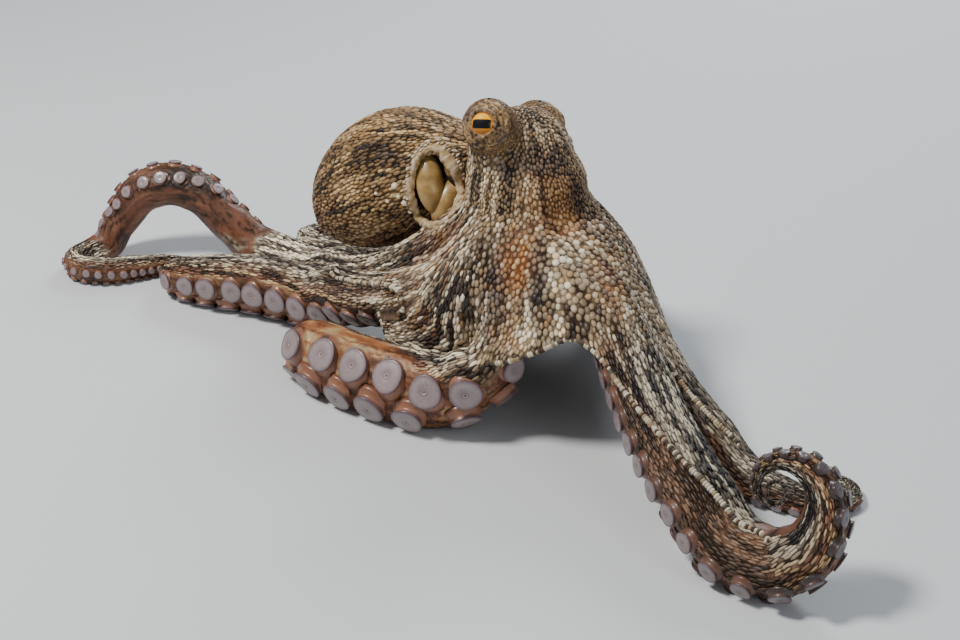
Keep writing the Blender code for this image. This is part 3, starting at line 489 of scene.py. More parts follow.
def mantle_radius(share):
    """The mantle's radius at a share of its length: a power of a sine, widest a little past midway."""
    return MANTLE_RADIUS * np.sin(math.pi * np.clip(share, 0.0, 1.0) ** 1.17) ** 0.50


def mantle_form(rings=60, sides=72):
    """Circles along an arched line from neck to apex; their radius is a power of a sine."""
    axis, length, across, upward = mantle_axis()
    share = (0.5 - 0.5 * np.cos(np.linspace(0, math.pi, rings + 1)))[1:-1]
    angle = np.linspace(0, 2 * math.pi, sides, endpoint=False)
    arched = MANTLE_ARCH * np.sin(math.pi * share)[:, None] * np.array((0, 0, 1.0))
    middle = MANTLE_NECK + axis * (length * share)[:, None] + arched
    circle = np.cos(angle)[:, None] * across + np.sin(angle)[:, None] * upward
    rings_made = middle[:, None] + mantle_radius(share)[:, None, None] * circle[None]
    return closed_tube(rings_made, MANTLE_NECK, MANTLE_APEX)


def pocket_frame(roll=0.0):
    """The pocket's directions across, up and into the mantle, turned by `roll` in its face."""
    up = np.array((0, math.sin(POCKET_LIFT), math.cos(POCKET_LIFT)))
    into = np.array((0, math.cos(POCKET_LIFT), -math.sin(POCKET_LIFT)))
    right = np.array((1.0, 0, 0))
    return (math.cos(roll) * right - math.sin(roll) * up, math.cos(roll) * up + math.sin(roll) * right, into)


def egg_form(centre, radii, roll, point=1.0, rings=40, sides=48):
    """An egg shape in the pocket's face; `point` under 1 draws its two ends out like an almond's."""
    right, up, into = pocket_frame(roll)
    theta = np.linspace(0, math.pi, rings + 1)[1:-1]
    phi = np.linspace(0, 2 * math.pi, sides, endpoint=False)
    wide = np.sin(theta) ** (1 / point)
    ring = np.cos(phi)[:, None] * right * radii[0] + np.sin(phi)[:, None] * into * radii[2]
    points = centre + wide[:, None, None] * ring[None] + np.cos(theta)[:, None, None] * up * radii[1]
    return closed_tube(points, centre + up * radii[1], centre - up * radii[1])


def joined(name, forms):
    """One object from several closed forms, given as (points, quads, triangles)."""
    verts, quads, tris, first = [], [], [], 0
    for points, four, three in forms:
        verts.append(points)
        quads.append(four + first)
        tris.append(three + first)
        first += len(points)
    return mesh_object(name, np.concatenate(verts), np.concatenate(quads), np.concatenate(tris))


def outward(obj):
    """Turns every closed shell of obj outwards."""
    bm = bmesh.new()
    bm.from_mesh(obj.data)
    bmesh.ops.recalc_face_normals(bm, faces=bm.faces)
    bm.to_mesh(obj.data)
    bm.free()
    return obj


def applied(obj):
    """Bakes obj's modifiers into its mesh."""
    graph = bpy.context.evaluated_depsgraph_get()
    made = bpy.data.meshes.new_from_object(obj.evaluated_get(graph))
    obj.modifiers.clear()
    old = obj.data
    obj.data = made
    bpy.data.meshes.remove(old)
    return obj


def arrays_of(mesh):
    """A mesh's points, vertex normals and edges as arrays."""
    points = np.empty(len(mesh.vertices) * 3, np.float32)
    mesh.vertices.foreach_get("co", points)
    normals = np.empty(len(mesh.vertices) * 3, np.float32)
    mesh.vertex_normals.foreach_get("vector", normals)
    edges = np.empty(len(mesh.edges) * 2, np.int32)
    mesh.edges.foreach_get("vertices", edges)
    return points.reshape(-1, 3).astype(float), normals.reshape(-1, 3).astype(float), edges.reshape(-1, 2)


def relaxed(points, edges, weight, rounds):
    """Moves each point toward the mean of its neighbours, `rounds` times, as far as its weight says."""
    a, b = edges.T
    n = len(points)
    count = np.maximum(np.bincount(a, minlength=n) + np.bincount(b, minlength=n), 1)
    for _ in range(rounds):
        total = [np.bincount(a, points[b, k], n) + np.bincount(b, points[a, k], n) for k in range(3)]
        points = points + (np.stack(total, 1) / count[:, None] - points) * weight[:, None]
    return points


# ---------------------------------------------------------------- where on the body a point lies
# Four rows of values for the arms, in AROUND's order: the oral share where the pattern ends, the size of its
# pebbles over arm R1's, how light its back is, and how orange, not liver brown, it is below.
UNDER_EDGE = np.array((0.66, 0.50, 0.42, 0.30, 0.35, 0.35, 0.35, 0.62))
COARSER = np.array((1.0, 1.0, 1.0, 1.1, 1.4, 1.4, 1.4, 1.1))
BACK_TONES = np.array((0.60, 1.55, 1.0, 1.50, 1.0, 1.0, 1.0, 0.80))
UNDER_TONES = np.array((0.05, 1.0, 0.25, 0.10, 0.4, 0.4, 0.4, 0.20))
R1, R2, R4 = (AROUND.index(name) for name in ("arm_r1", "arm_r2", "arm_r4"))


def arm_table(samples=130):
    """Each arm's frame at evenly spaced distances along it."""
    table = []
    for name in AROUND:
        s = np.linspace(0, ARMS[name].length, samples)
        table.append((s,) + ARMS[name].frame(s))
    return table


def nearest(points, places):
    """For each point, which of the places is nearest, worked out in blocks."""
    found = np.empty(len(points), np.int64)
    places = places.astype(np.float32)
    square = (places * places).sum(1)
    block = max(2000, 6000000 // len(places))
    for i in range(0, len(points), block):
        p = points[i:i + block].astype(np.float32)
        found[i:i + block] = (square - 2 * p @ places.T).argmin(1)
    return found


def web_table():
    """Rows of a place on a web, the steps down and across there, its shares down and across, and its web."""
    v, t = np.meshgrid(np.linspace(0.02, 1, 26), np.linspace(0, 1, 20), indexing="ij")
    rows = []
    for number, web in enumerate(WEBS):
        here = web_points(web, v, t)
        down = (web_points(web, v, t) - web_points(web, v - 0.01, t)) / 0.01
        after, before = np.minimum(t + 0.01, 1), np.maximum(t - 0.01, 0)
        over = (web_points(web, v, after) - web_points(web, v, before)) / 0.02
        which = np.full(v.shape, number)
        whole = np.concatenate([here, down, over, np.stack([v, t, which], -1)], -1)
        rows.append(whole.reshape(-1, 12))
    return np.concatenate(rows)


def sucker_places(arm, share):
    """Distance, row and radius of each sucker: two rows that alternate, small by the mouth and at the tip."""
    places, s, row = [], 0.030, 1
    while s < arm.length - 0.003:
        half = arm.frame(s)[4][0]
        radius = share * half * (0.55 + 0.45 * float(smoothstep(s / 0.11)))
        places.append((s, row, radius))
        s += SUCKER_PITCH * radius
        row = -row
    return np.array(places)


def sucker_feet(arm, places):
    """Where each sucker stands on its arm, and the arm's frame there."""
    s, row, _ = places.T
    centre, tangent, oral, side, half, depth = arm.frame(s)
    foot = centre + (row * SUCKER_ROW * half)[:, None] * side
    foot += (ORAL_FLATNESS * depth * math.sqrt(1 - SUCKER_ROW ** 2))[:, None] * oral
    return foot, tangent, oral, side


ARM_TABLE = arm_table()
WEB_TABLE = web_table()
# A fold of the web runs along arm R3's back and turns down where the web leaves it.
FOLD = through(((-0.108, 0.118, 0.056), (-0.102, 0.102, 0.057), (-0.088, 0.086, 0.062),
                (-0.076, 0.071, 0.068), (-0.065, 0.057, 0.073), (-0.056, 0.046, 0.074),
                (-0.052, 0.041, 0.066), (-0.054, 0.040, 0.060)))
SUCKERS = {name: sucker_places(arm, SUCKER_SHARE[name]) for name, arm in ARMS.items()}
FEET = np.concatenate([sucker_feet(ARMS[name], SUCKERS[name])[0] for name in SUCKERS])
FEET_RADII = np.concatenate([SUCKERS[name][:, 2] * SUCKER_SWELL.get(name, 1.0) for name in SUCKERS])


def by_arm(points):
    """For every point and arm: how near it is, over the arm's size.  Then, at the arm's nearest place, the
    distance along it, the point's oral and side shares, and the arm's half width and tangent.
    """
    near, along, oral, side, wide = np.empty((5, len(points), len(AROUND)))
    tangents = np.empty((len(points), len(AROUND), 3))
    for k, (s, centre, tangent, toward, across, half, depth) in enumerate(ARM_TABLE):
        i = nearest(points, centre)
        d = points - centre[i]
        side[:, k] = (d * across[i]).sum(1) / half[i]
        oral[:, k] = (d * toward[i]).sum(1) / depth[i]
        ahead = (d * tangent[i]).sum(1) / (half[i] + 0.004)
        near[:, k] = np.sqrt(side[:, k] ** 2 + oral[:, k] ** 2 + ahead ** 2)
        along[:, k], wide[:, k], tangents[:, k] = s[i], half[i], tangent[i]
    return near, along, oral, side, wide, tangents


def by_web(points):
    """Each point's nearest web, its shares down and across it, and the web's direction down."""
    row = WEB_TABLE[nearest(points, WEB_TABLE[:, :3])]
    d = points - row[:, :3]
    down, over = row[:, 3:6], row[:, 6:9]
    v = row[:, 9] + (d * down).sum(1) / (down * down).sum(1)
    t = row[:, 10] + (d * over).sum(1) / np.maximum((over * over).sum(1), 1e-6)
    return row[:, 11], v, t, down


def by_mantle(points):
    """Each point's share along the mantle, its turn round the mantle's arched line, and its weight."""
    axis, length, across, upward = mantle_axis()
    share = ((points - MANTLE_NECK) @ axis) / length
    bow = MANTLE_ARCH * np.sin(math.pi * np.clip(share, 0, 1))[:, None] * np.array((0, 0, 1.0))
    off = points - (MANTLE_NECK + np.clip(share, 0, 1)[:, None] * axis * length + bow)
    ratio = np.linalg.norm(off, axis=1) / np.maximum(mantle_radius(share), 0.004)
    weight = falls(ratio, 1.13, 0.10) * (share > -0.02)
    return share, np.arctan2(off @ across, off @ upward), weight


def by_pocket(points):
    """Each point's distance from the pocket's middle in its face, over its radii, and depth into it."""
    right, up, into = pocket_frame()
    d = points - POCKET
    oval = np.sqrt(((d @ right) / POCKET_RADII[0]) ** 2 + ((d @ up) / POCKET_RADII[1]) ** 2)
    return oval, d @ into


def by_fold(points):
    """How far each point lies from the fold's line."""
    return np.linalg.norm(points - FOLD[nearest(points, FOLD)], axis=1)


def survey(points, normals):
    """Where each point lies: its arm, distance along it, share across it, flow and the parts' weights.

    An arm's oral share is 1 at the suckers' midline and -1 at its back.  Each part's weight is a smooth step
    of the distance from its shape, over its size.  The flow is the arm's tangent, the way down the web or
    head, or the mantle's axis, mixed by those weights and laid flat on the skin.
    """
    near, along, oral, side, wide, tangents = by_arm(points)
    weight = 1.0 / (near + 0.15) ** 5
    weight /= weight.sum(1)[:, None]
    best = near.argmin(1)
    pick = np.arange(len(points)), best
    on_arm = falls(near[pick], 1.45, 0.30)
    web, web_v, web_t, down = by_web(points)
    fanned = 0.7 * unit(down) + 0.3 * unit((weight[..., None] * tangents).sum(1))
    flow = mixed(fanned, tangents[pick], on_arm)
    reach = (weight * along).sum(1)
    s, oral, side = along[pick], oral[pick], side[pick]
    share, around, mantle = by_mantle(points)

    head = np.full(len(points), 9.0)
    for middle, radii in HEAD_BLOBS[:2]:
        head = np.minimum(head, np.linalg.norm((points - np.array(middle)) / radii, axis=1))
    head = falls(head, 1.22, 0.22) * (1 - mantle)
    mound = np.min([np.linalg.norm(points - eye[1], axis=1) for eye in EYES], axis=0) / MOUND_RADIUS
    mound = falls(mound, 1.35, 0.30)
    flow = mixed(flow, unit(points - HEAD_TOP), np.maximum(head, mound) * (1 - 0.9 * on_arm))
    flow = mixed(flow, np.broadcast_to(mantle_axis()[0], flow.shape), mantle)
    flow = unit(flow - (flow * normals).sum(1)[:, None] * normals)

    oval, depth = by_pocket(points)
    rim = bell(oval, 1.12, 0.13) * falls(depth, 0.016, 0.008) * (depth > -0.03)
    rim *= np.maximum(mantle, 0.6)
    fold = bell(by_fold(points), 0, FOLD_WIDTH)
    shadow = np.exp(-(by_fold(points + FOLD_SHADE_SIDE) / FOLD_SHADE_WIDTH) ** 4) * (1 - fold)
    foot = nearest(points, FEET)
    cup = np.linalg.norm(points - FEET[foot], axis=1) / FEET_RADII[foot]

    line = oral - np.interp(s, *ROPE_LINE)
    by_rope = (best == R1) * on_arm * falls(side, 0.35, 0.2) * (1 - rises(s, 0.285, 0.04))
    by_rope *= rises(s, 0.105, 0.02)
    flank = by_rope * rises(line, 0.02, 0.10)
    rope = by_rope * bell(line, 0, 0.10)
    arch = (best == R4) * rises(s, 0.255, 0.03) * (1 - rises(s, 0.46, 0.04))
    edge = UNDER_EDGE[best] - 1.35 * arch + 0.34 * (noise(points, 0.0090, 71) - 0.5) * (1 - flank)
    edge -= 0.80 * (best == R2) * rises(s, 0.125, 0.06) * (1 - rises(s, 0.33, 0.05))
    under = smoothstep((oral - edge + 0.16) / 0.32) * on_arm
    inner = ((points - MOUTH) * normals).sum(1) < 0
    under = np.maximum(under, (1 - on_arm) * inner * (1 - head) * (1 - mantle) * (1 - mound))
    under *= rises(np.linalg.norm(points - POCKET, axis=1), 0.034, 0.008)
    off = points - HEAD_CENTRE
    return dict(arm=best, along=s, reach=reach, oral=oral, side=side, half=wide[pick], on_arm=on_arm,
                turn=np.arctan2(side, -oral), tail=on_arm * rises(s, 0.075, 0.07), flow=flow, web=web,
                web_v=web_v, web_t=web_t, mantle=mantle, share=share, around=around, head=head,
                azimuth=np.arctan2(off[:, 0], -off[:, 1]), height=points[:, 2], mound=mound, rim=rim,
                under=under, arch=arch, cup=cup, flank=flank, rope=rope, fold=fold, shadow=shadow)


def lines(field, size, stretch, seed):
    """Streaks `size` wide and `stretch` times as long, from noise over each part's turn and length."""
    n = len(field["arm"])
    plane = lambda around, along, number: np.stack([around, along / stretch, number * 1.0], -1)
    arm = noise(plane(field["turn"] * 0.027, field["along"], field["arm"]), size, seed)
    web = noise(plane(field["web_t"] * 0.100, field["web_v"] * 0.150, field["web"]), size, seed + 1)
    mantle = noise(plane(field["around"] * 0.046, field["share"] * 0.140, np.zeros(n)), size, seed + 2)
    head = noise(plane(field["azimuth"] * 0.040, field["height"], np.zeros(n)), size, seed + 3)
    total = mixed(web, arm, field["on_arm"])
    total = mixed(total, head, field["head"] * (1 - field["on_arm"]))
    total = mixed(total, mantle, field["mantle"])
    return np.clip(0.5 + 1.35 * (total - 0.5), 0, 1)


# ---------------------------------------------------------------- colours of the living skin
CREAM = tint(236, 222, 196)
STONE = tint(150, 128, 99)
UMBER = tint(46, 32, 23)
RUST = tint(158, 104, 58)
SLATE = tint(74, 66, 76)
TAN = tint(196, 164, 118)
HONEY = tint(134, 104, 68)
PEAT = tint(40, 28, 18)
ORANGE = tint(170, 106, 64)
BRICK = tint(104, 58, 34)
LIVER = tint(104, 66, 48)
ASH = tint(122, 110, 95)
BARK = tint(78, 57, 42)
FAWN = tint(128, 98, 76)
OCHRE = tint(184, 128, 60)
SOOT = tint(34, 28, 28)

# Named markings on the head and web: place, reach along each axis, tone and strength.
MARKINGS = [
    ("orange stripe down the front", (0.024, 0.004, 0.118), (0.012, 0.022, 0.040), "rust", 0.85),
    ("orange patch below the eyes", (0.048, 0.034, 0.145), (0.022, 0.022, 0.026), "rust", 0.80),
    ("orange edge of the right side", (0.085, -0.015, 0.118), (0.012, 0.034, 0.028), "rust", 0.55),
    ("orange patch left of the head", (-0.016, 0.050, 0.104), (0.020, 0.026, 0.020), "rust", 0.50),
    ("dark patch behind the eye", (0.024, 0.044, 0.168), (0.015, 0.016, 0.014), "slate", 1.00),
    ("dark patch over the brow", (0.044, 0.050, 0.168), (0.016, 0.015, 0.013), "slate", 0.95),
    ("dark bar down the web", (0.008, -0.008, 0.104), (0.009, 0.020, 0.034), "slate", 0.65),
    ("dark bar beside the orange", (0.038, -0.014, 0.106), (0.007, 0.020, 0.030), "slate", 0.45),
    ("cream field on the web", (0.062, -0.012, 0.116), (0.020, 0.026, 0.030), "cream", 0.80),
    ("cream scales to the left", (-0.030, 0.020, 0.090), (0.026, 0.026, 0.026), "cream", 0.70),
    ("cream field over the right arm", (0.100, -0.060, 0.088), (0.024, 0.040, 0.030), "cream", 0.12),
    ("brown back of the mantle", (-0.070, 0.135, 0.152), (0.040, 0.040, 0.014), "slate", 0.35),
]


def tones(dark, middle, light, q):
    """A run of colour from dark through middle to light as q goes from 0 to 1."""
    low = mixed(dark[None], middle[None], smoothstep(q * 2))
    return mixed(low, light[None], smoothstep(q * 2 - 1))


def web_colour(points, q, ragged, marks):
    """Brown to cream, greyer low on the right, with the orange and slate markings and patches from noise."""
    web = tones(UMBER, STONE, CREAM, q)
    grey = falls(points[:, 0], 0.004, 0.034) * falls(points[:, 2], 0.135, 0.02)
    web = mixed(web, tones(SOOT * 1.3, ASH * 1.25, CREAM, q + 0.05), 0.70 * grey)
    rust = marks["rust"] * ragged * 1.2 + 0.25 * rises(noise(points, 0.0210, 21), 0.62, 0.12)
    web = mixed(web, tones(BRICK, RUST, TAN, q), np.clip(rust, 0, 1))
    slate = marks["slate"] * ragged + 0.35 * rises(noise(points, 0.0190, 31), 0.60, 0.14)
    web = mixed(web, tones(SOOT, SLATE, STONE, q), np.clip(slate, 0, 1) * 0.75)
    return web * (1 - 0.34 * rises(points[:, 0], 0.055, 0.045))[:, None]


def arm_colour(field, q):
    """Each arm's back in its own lightness, warmer toward the suckers, dark in arm R1's coil, and a darker
    brown on R1's flank under the web's edge, partly painted shade.
    """
    back = tones(SOOT, ASH, CREAM * 0.92, q) * BACK_TONES[field["arm"]][:, None]
    warm = smoothstep((field["oral"] + 0.35) / 0.75)
    back = mixed(back, tones(PEAT * 1.2, LIVER * 1.35, TAN * 0.95, q), warm)
    # Arm R1's flank under the web's edge: its own brown, deepened as painted shade.
    back = mixed(back, tones(PEAT * 0.9, BARK, FAWN, 0.12 + 0.8 * q), field["flank"])
    return back * (1 - 0.62 * (field["arm"] == R1) * rises(field["along"], 0.375, 0.04))[:, None]


def under_colour(points, field, blotch, streak):
    """The under side, liver brown or orange by arm, with painted shade at each sucker's foot and in the
    groove round it, by the arms' roots on the left and beside the fold.
    """
    soft = np.clip(0.47 + 1.5 * (blotch - 0.5) + 0.50 * (streak - 0.5), 0, 1)
    soft = np.clip(soft + 1.1 * (lines(field, 0.0022, 5.0, 23) - 0.5), 0, 1)
    brown = tones(PEAT * 0.8, LIVER * 0.60, LIVER * 1.20, soft)
    orange = tones(BRICK * 0.6, ORANGE * 0.80, TAN * 0.85, soft)
    below = mixed(brown, orange, UNDER_TONES[field["arm"]])
    # Painted shade where each sucker meets the skin and in the groove round it.
    crease_shade = bell(field["cup"], 1.15, 0.22) + 0.6 * bell(field["cup"], 1.62, 0.10)
    below = below * (1 - 0.40 * np.clip(crease_shade, 0, 1))[:, None]
    below = mixed(below, tones(SOOT, LIVER * 0.7, LIVER, soft), 0.9 * (field["on_arm"] < 0.5))
    arched = field["arch"] * (field["oral"] < 0.35)
    below = mixed(below, tones(PEAT, LIVER * 0.98, LIVER * 1.7, soft), arched)
    # Painted shade: darker by the arms' roots on the left, in the recess by the mouth, and in the painted
    # shadow beside the fold.
    root = falls(field["along"], 0.125, 0.03) * falls(points[:, 0], 0.020, 0.02)
    return below * (1 - 0.55 * root)[:, None] * (1 - 0.5 * field["shadow"])[:, None]


def skin_colour(points, field, lift):
    """The skin's colour: streaks along the flow, blotches and named markings; `lift` lightens or darkens it.

    q, from dark to light, is a weighted sum of noises.  Each part has its own run of tones over q, and the
    parts are mixed by their weights: web, arms' backs, mantle, head, eye mounds, rim, the painted shadow
    beside the fold, then under side.
    """
    streak = lines(field, 0.0021, 12.0, 3)
    broad = drawn_noise(points, field["flow"], 0.0052, 0.0210, 11)
    broad = 0.65 * lines(field, 0.0052, 7.0, 13) + 0.35 * broad
    blotch = noise(points, 0.0170, 5) * 0.6 + noise(points, 0.0080, 6) * 0.4
    tail = field["tail"]
    left = falls(points[:, 0], 0.020, 0.040)
    sharp = 0.60 + 0.40 * np.maximum(np.maximum(tail, left), rises(field["reach"], 0.05, 0.08))
    first = tail * (field["arm"] == R1)
    lined = 0.75 * first + 0.60 * left * (1 - first) * (1 - field["mantle"]) * (1 - field["head"])
    q = 0.45 + (0.95 + lined) * sharp * (streak - 0.5) + (0.80 - 0.55 * first) * (broad - 0.5)
    q += (0.50 - 0.25 * first) * (blotch - 0.5) + lift - 0.06 * first
    marks = {tone: np.zeros(len(points)) for tone in ("rust", "slate", "cream")}
    for _, centre, reach, tone, strength in MARKINGS:
        d = (points - np.array(centre)) / reach
        marks[tone] = np.maximum(marks[tone], strength * np.exp(-(d * d).sum(1) ** 1.5))
    ragged = 0.55 + 0.9 * (broad - 0.1)
    q = np.clip(q + 0.26 * marks["cream"] * ragged - 0.20 * marks["slate"] * ragged, 0, 1)
    colour = mixed(web_colour(points, q, ragged, marks), arm_colour(field, q), tail)
    mantle = tones(PEAT, HONEY, TAN * 1.05, q + 0.04)
    belly = falls(points[:, 2], 0.110, 0.035)
    mantle = mixed(mantle, tones(PEAT, LIVER * 1.4, STONE * 1.1, q + 0.05), 0.5 * belly)
    colour = mixed(colour, mantle, field["mantle"])
    crown = field["head"] * (1 - field["mantle"])
    colour = mixed(colour, tones(SOOT, HONEY * 0.85, TAN, q), 0.45 * crown)
    colour = mixed(colour, tones(PEAT, HONEY, TAN, 0.22 + 0.50 * q), field["mound"])
    colour = mixed(colour, tones(LIVER, TAN, CREAM, q + 0.20), field["rim"])
    # Painted shadow: the band beside the web's fold is darkened.
    colour = mixed(colour, tones(SOOT, LIVER * 0.45, LIVER, q), 0.88 * field["shadow"])
    return mixed(colour, under_colour(points, field, blotch, streak), field["under"])


# ---------------------------------------------------------------- the skin
def raw_skin():
    """Every fleshy form run together into one closed surface by a voxel grid."""
    mantle = outward(mesh_object("mantle form", *mantle_form()))
    pocket = outward(mesh_object("pocket form", *egg_form(POCKET, POCKET_RADII, 0.0)))
    cut = mantle.modifiers.new("pocket", "BOOLEAN")
    cut.operation, cut.solver, cut.object = "DIFFERENCE", "MANIFOLD", pocket
    applied(mantle)
    forms = [arm_form(arm, -COAT_DEPTH) for arm in ARMS.values()]
    forms += [web_form(web) for web in WEBS]
    forms.append(blob_form(HEAD_CENTRE, HEAD_BLOBS))
    right, up, into = pocket_frame()
    flap = POCKET + 0.0125 * right + 0.0120 * up - 0.0010 * into
    forms.append(egg_form(flap, (0.0066, 0.0135, 0.0090), -0.35))
    for _, mound, _, _ in EYES:
        forms.append(blob_form(mound, [(mound, (MOUND_RADIUS,) * 3)], 24, 36))
    body = outward(joined("body forms", forms))
    bm = bmesh.new()
    bm.from_mesh(body.data)
    bm.from_mesh(mantle.data)
    bm.to_mesh(body.data)
    bm.free()
    bpy.data.objects.remove(mantle)
    bpy.data.objects.remove(pocket)
    remesh = body.modifiers.new("skin", "REMESH")
    remesh.mode, remesh.voxel_size = "VOXEL", VOXEL
    return applied(body)


def shaped(points, normals, field):
    """Ridges on the skin: low folds along the flow and round suckers, the pocket's rim, rope and fold."""
    lift = 0.0010 * (drawn_noise(points, field["flow"], 0.0050, 0.0160, 41) - 0.5) * (1 - field["mound"])
    lift += 0.0024 * field["rim"] + 0.0013 * field["rope"] - 0.0009 * field["flank"]
    folds = 0.00055 * bell(field["cup"], 1.42, 0.12) - 0.00060 * bell(field["cup"], 1.62, 0.10)
    lift += folds * field["under"] + 0.0026 * field["fold"] - 0.0016 * field["shadow"]
    return points + normals * lift[:, None]


def build_skin():
    """The fine surface (points, normals, field) and the thinned skin object made from it."""
    obj = raw_skin()
    points, normals, edges = arrays_of(obj.data)
    first = survey(points, normals)
    slim = rises(first["half"], 0.0020, 0.0060)
    weight = 0.55 * np.where(first["on_arm"] > 0.5, slim, 1.0) * (1 - 0.75 * first["mound"])
    points = relaxed(points, edges, weight, 9)
    crease = np.zeros(len(points))
    for _, mound, _, look in EYES:
        d = points - mound
        away = np.linalg.norm(d, axis=1) / MOUND_RADIUS
        front = smoothstep((unit(d) @ look - 0.15) / 0.30)
        crease = np.maximum(crease, np.exp(-((away - 1.12) / 0.30) ** 2) * (1 - front))
    filled = relaxed(points, edges, 0.9 * crease, 60)
    points = points + normals * np.maximum(((filled - points) * normals).sum(1), 0.0)[:, None]
    points = shaped(points, normals, first)
    points[:, 2] = np.maximum(points[:, 2], 0.0)
    obj.data.vertices.foreach_set("co", points.astype(np.float32).ravel())
    obj.data.update()
    points, normals, _ = arrays_of(obj.data)
    field = survey(points, normals)
    thin = obj.modifiers.new("thin", "DECIMATE")
    thin.ratio = min(1.0, PIECE_TRIANGLES / (2 * len(points)))
    thin.use_collapse_triangulate = True
    applied(obj)
    return obj, points, normals, field


# ---------------------------------------------------------------- pebbles
def close_pairs(points, reach):
    """Every pair of points nearer than `reach`, found cell by cell on a grid of that size."""
    cell = np.floor((points - points.min(0)) / reach).astype(np.int64) + 1
    _, ny, nz = cell.max(0) + 2
    key = (cell[:, 0] * ny + cell[:, 1]) * nz + cell[:, 2]
    order = np.argsort(key, kind="stable")
    ordered = key[order]
    n = len(points)
    shifts = [(x * ny + y) * nz + z for x in (-1, 0, 1) for y in (-1, 0, 1) for z in (-1, 0, 1)]
    found = []
    for shift in [s for s in shifts if s >= 0]:
        low, high = np.searchsorted(ordered, key + shift), np.searchsorted(ordered, key + shift, "right")
        count = high - low
        i = np.repeat(np.arange(n), count)
        within = np.arange(count.sum()) - np.repeat(np.cumsum(count) - count, count)
        j = order[np.repeat(low, count) + within]
        keep = (i < j) if shift == 0 else np.ones(len(i), bool)
        i, j = i[keep], j[keep]
        near = ((points[i] - points[j]) ** 2).sum(1) < reach * reach
        found.append(np.stack([i[near], j[near]]))
    return np.concatenate(found, axis=1)


def spread(points, flow, long, wide):
    """Picks points that keep clear of each other: `long` apart along the flow and `wide` apart across it."""
    i, j = close_pairs(points, float(long.max()))
    d = points[i] - points[j]
    ahead = (d * flow[i]).sum(1)
    a, b = (long[i] + long[j]) / 2, (wide[i] + wide[j]) / 2
    clash = (ahead / a) ** 2 + ((d * d).sum(1) - ahead ** 2) / b ** 2 < 1.0
    i, j = i[clash], j[clash]
    rank = RNG.random(len(points))
    alive, chosen = np.ones(len(points), bool), np.zeros(len(points), bool)
    for _ in range(14):
        both = alive[i] & alive[j]
        i, j = i[both], j[both]
        best = np.zeros(len(points))
        np.maximum.at(best, i, rank[j])
        np.maximum.at(best, j, rank[i])
        new = alive & (rank > best)
        chosen |= new
        alive &= ~new
        alive[j[new[i]]] = False
        alive[i[new[j]]] = False
    return np.flatnonzero(chosen)


# Two kinds of pebble: round ones on head, web and mantle, and drawn-out ones on the arms.
# Each ring of a dome is its reach, its rise and its painted shade; the last number lightens the crown as
# painted light.
ROUND_DOME = (7, ((1.00, -0.55, 0.24), (0.83, 0.22, 0.56), (0.55, 0.78, 1.00)), 1.12)
LONG_DOME = (6, ((1.00, -0.55, 0.26), (0.66, 0.60, 0.96)), 1.12)
BAKE_PATCH = 0.0015                # half size of a pebble's patch on the bake map
LONGEST_ARM = 0.66


def dome_form(dome, centre, normal, flow, long, wide, height):
    """Domes of a few rings and a crown point, stretched along the flow; they run into each other's skirts."""
    k, profile, _ = dome
    angle = np.arange(k) * 2 * math.pi / k
    side = np.cross(normal, flow)
    uneven = 1 + 0.22 * (RNG.random((len(centre), k)) - 0.5)
    verts = []
    for reach, rise, _ in profile:
        ring = ((np.cos(angle) * uneven)[..., None] * (flow * (long * reach)[:, None])[:, None]
                + (np.sin(angle) * uneven)[..., None] * (side * (wide * reach)[:, None])[:, None])
        verts.append(centre[:, None] + ring + (normal * (height * rise)[:, None])[:, None])
    verts.append((centre + normal * height[:, None])[:, None])
    verts = np.concatenate(verts, axis=1)
    quads = tube_faces(len(profile), k)
    tris = fan_faces(len(profile) * k, (len(profile) - 1) * k, k, True)
    base = np.arange(len(centre))[:, None, None] * (len(profile) * k + 1)
    floor = np.arange(k)[::-1][None, None] + base
    quads, tris = (quads[None] + base).reshape(-1, 4), (tris[None] + base).reshape(-1, 3)
    return verts, quads, tris, floor.reshape(-1, k)


def dome_object(name, dome, centre, normal, flow, long, wide, height, colours, uv):
    """Domes as one object, with painted shade down their skirts and painted light on the crown, each with a
    bake patch at its root's place.
    """
    k, profile, painted_crown_light = dome
    verts, quads, tris, floors = dome_form(dome, centre, normal, flow, long, wide, height)
    per = len(profile) * k + 1
    verts = verts.reshape(-1, 3)
    verts[:, 2] = np.maximum(verts[:, 2], 0.0)
    obj = mesh_object(name, verts + PLACE, quads, tris, floors)
    # Painted shade and light: each ring's colour is darkened down the skirt, and the crown's is lightened.
    shade = np.append(np.repeat([ring[2] for ring in profile], k), painted_crown_light)
    set_colour(obj.data, "tint", np.repeat(colours, per, axis=0) * np.tile(shade, len(centre))[:, None])
    angle = np.arange(k) * 2 * math.pi / k
    ring = np.stack([np.cos(angle), np.sin(angle)], -1)
    local = np.concatenate([reach * ring for reach, _, _ in profile] + [[(0, 0)]]) * BAKE_PATCH
    patch = (uv[:, None] + local[None]).reshape(-1, 2)
    corners = np.empty(len(obj.data.loops), np.int32)
    obj.data.loops.foreach_get("vertex_index", corners)
    layer = obj.data.uv_layers.new(name="OFBake")
    layer.uv.foreach_set("vector", patch[corners].astype(np.float32).ravel())
    return obj


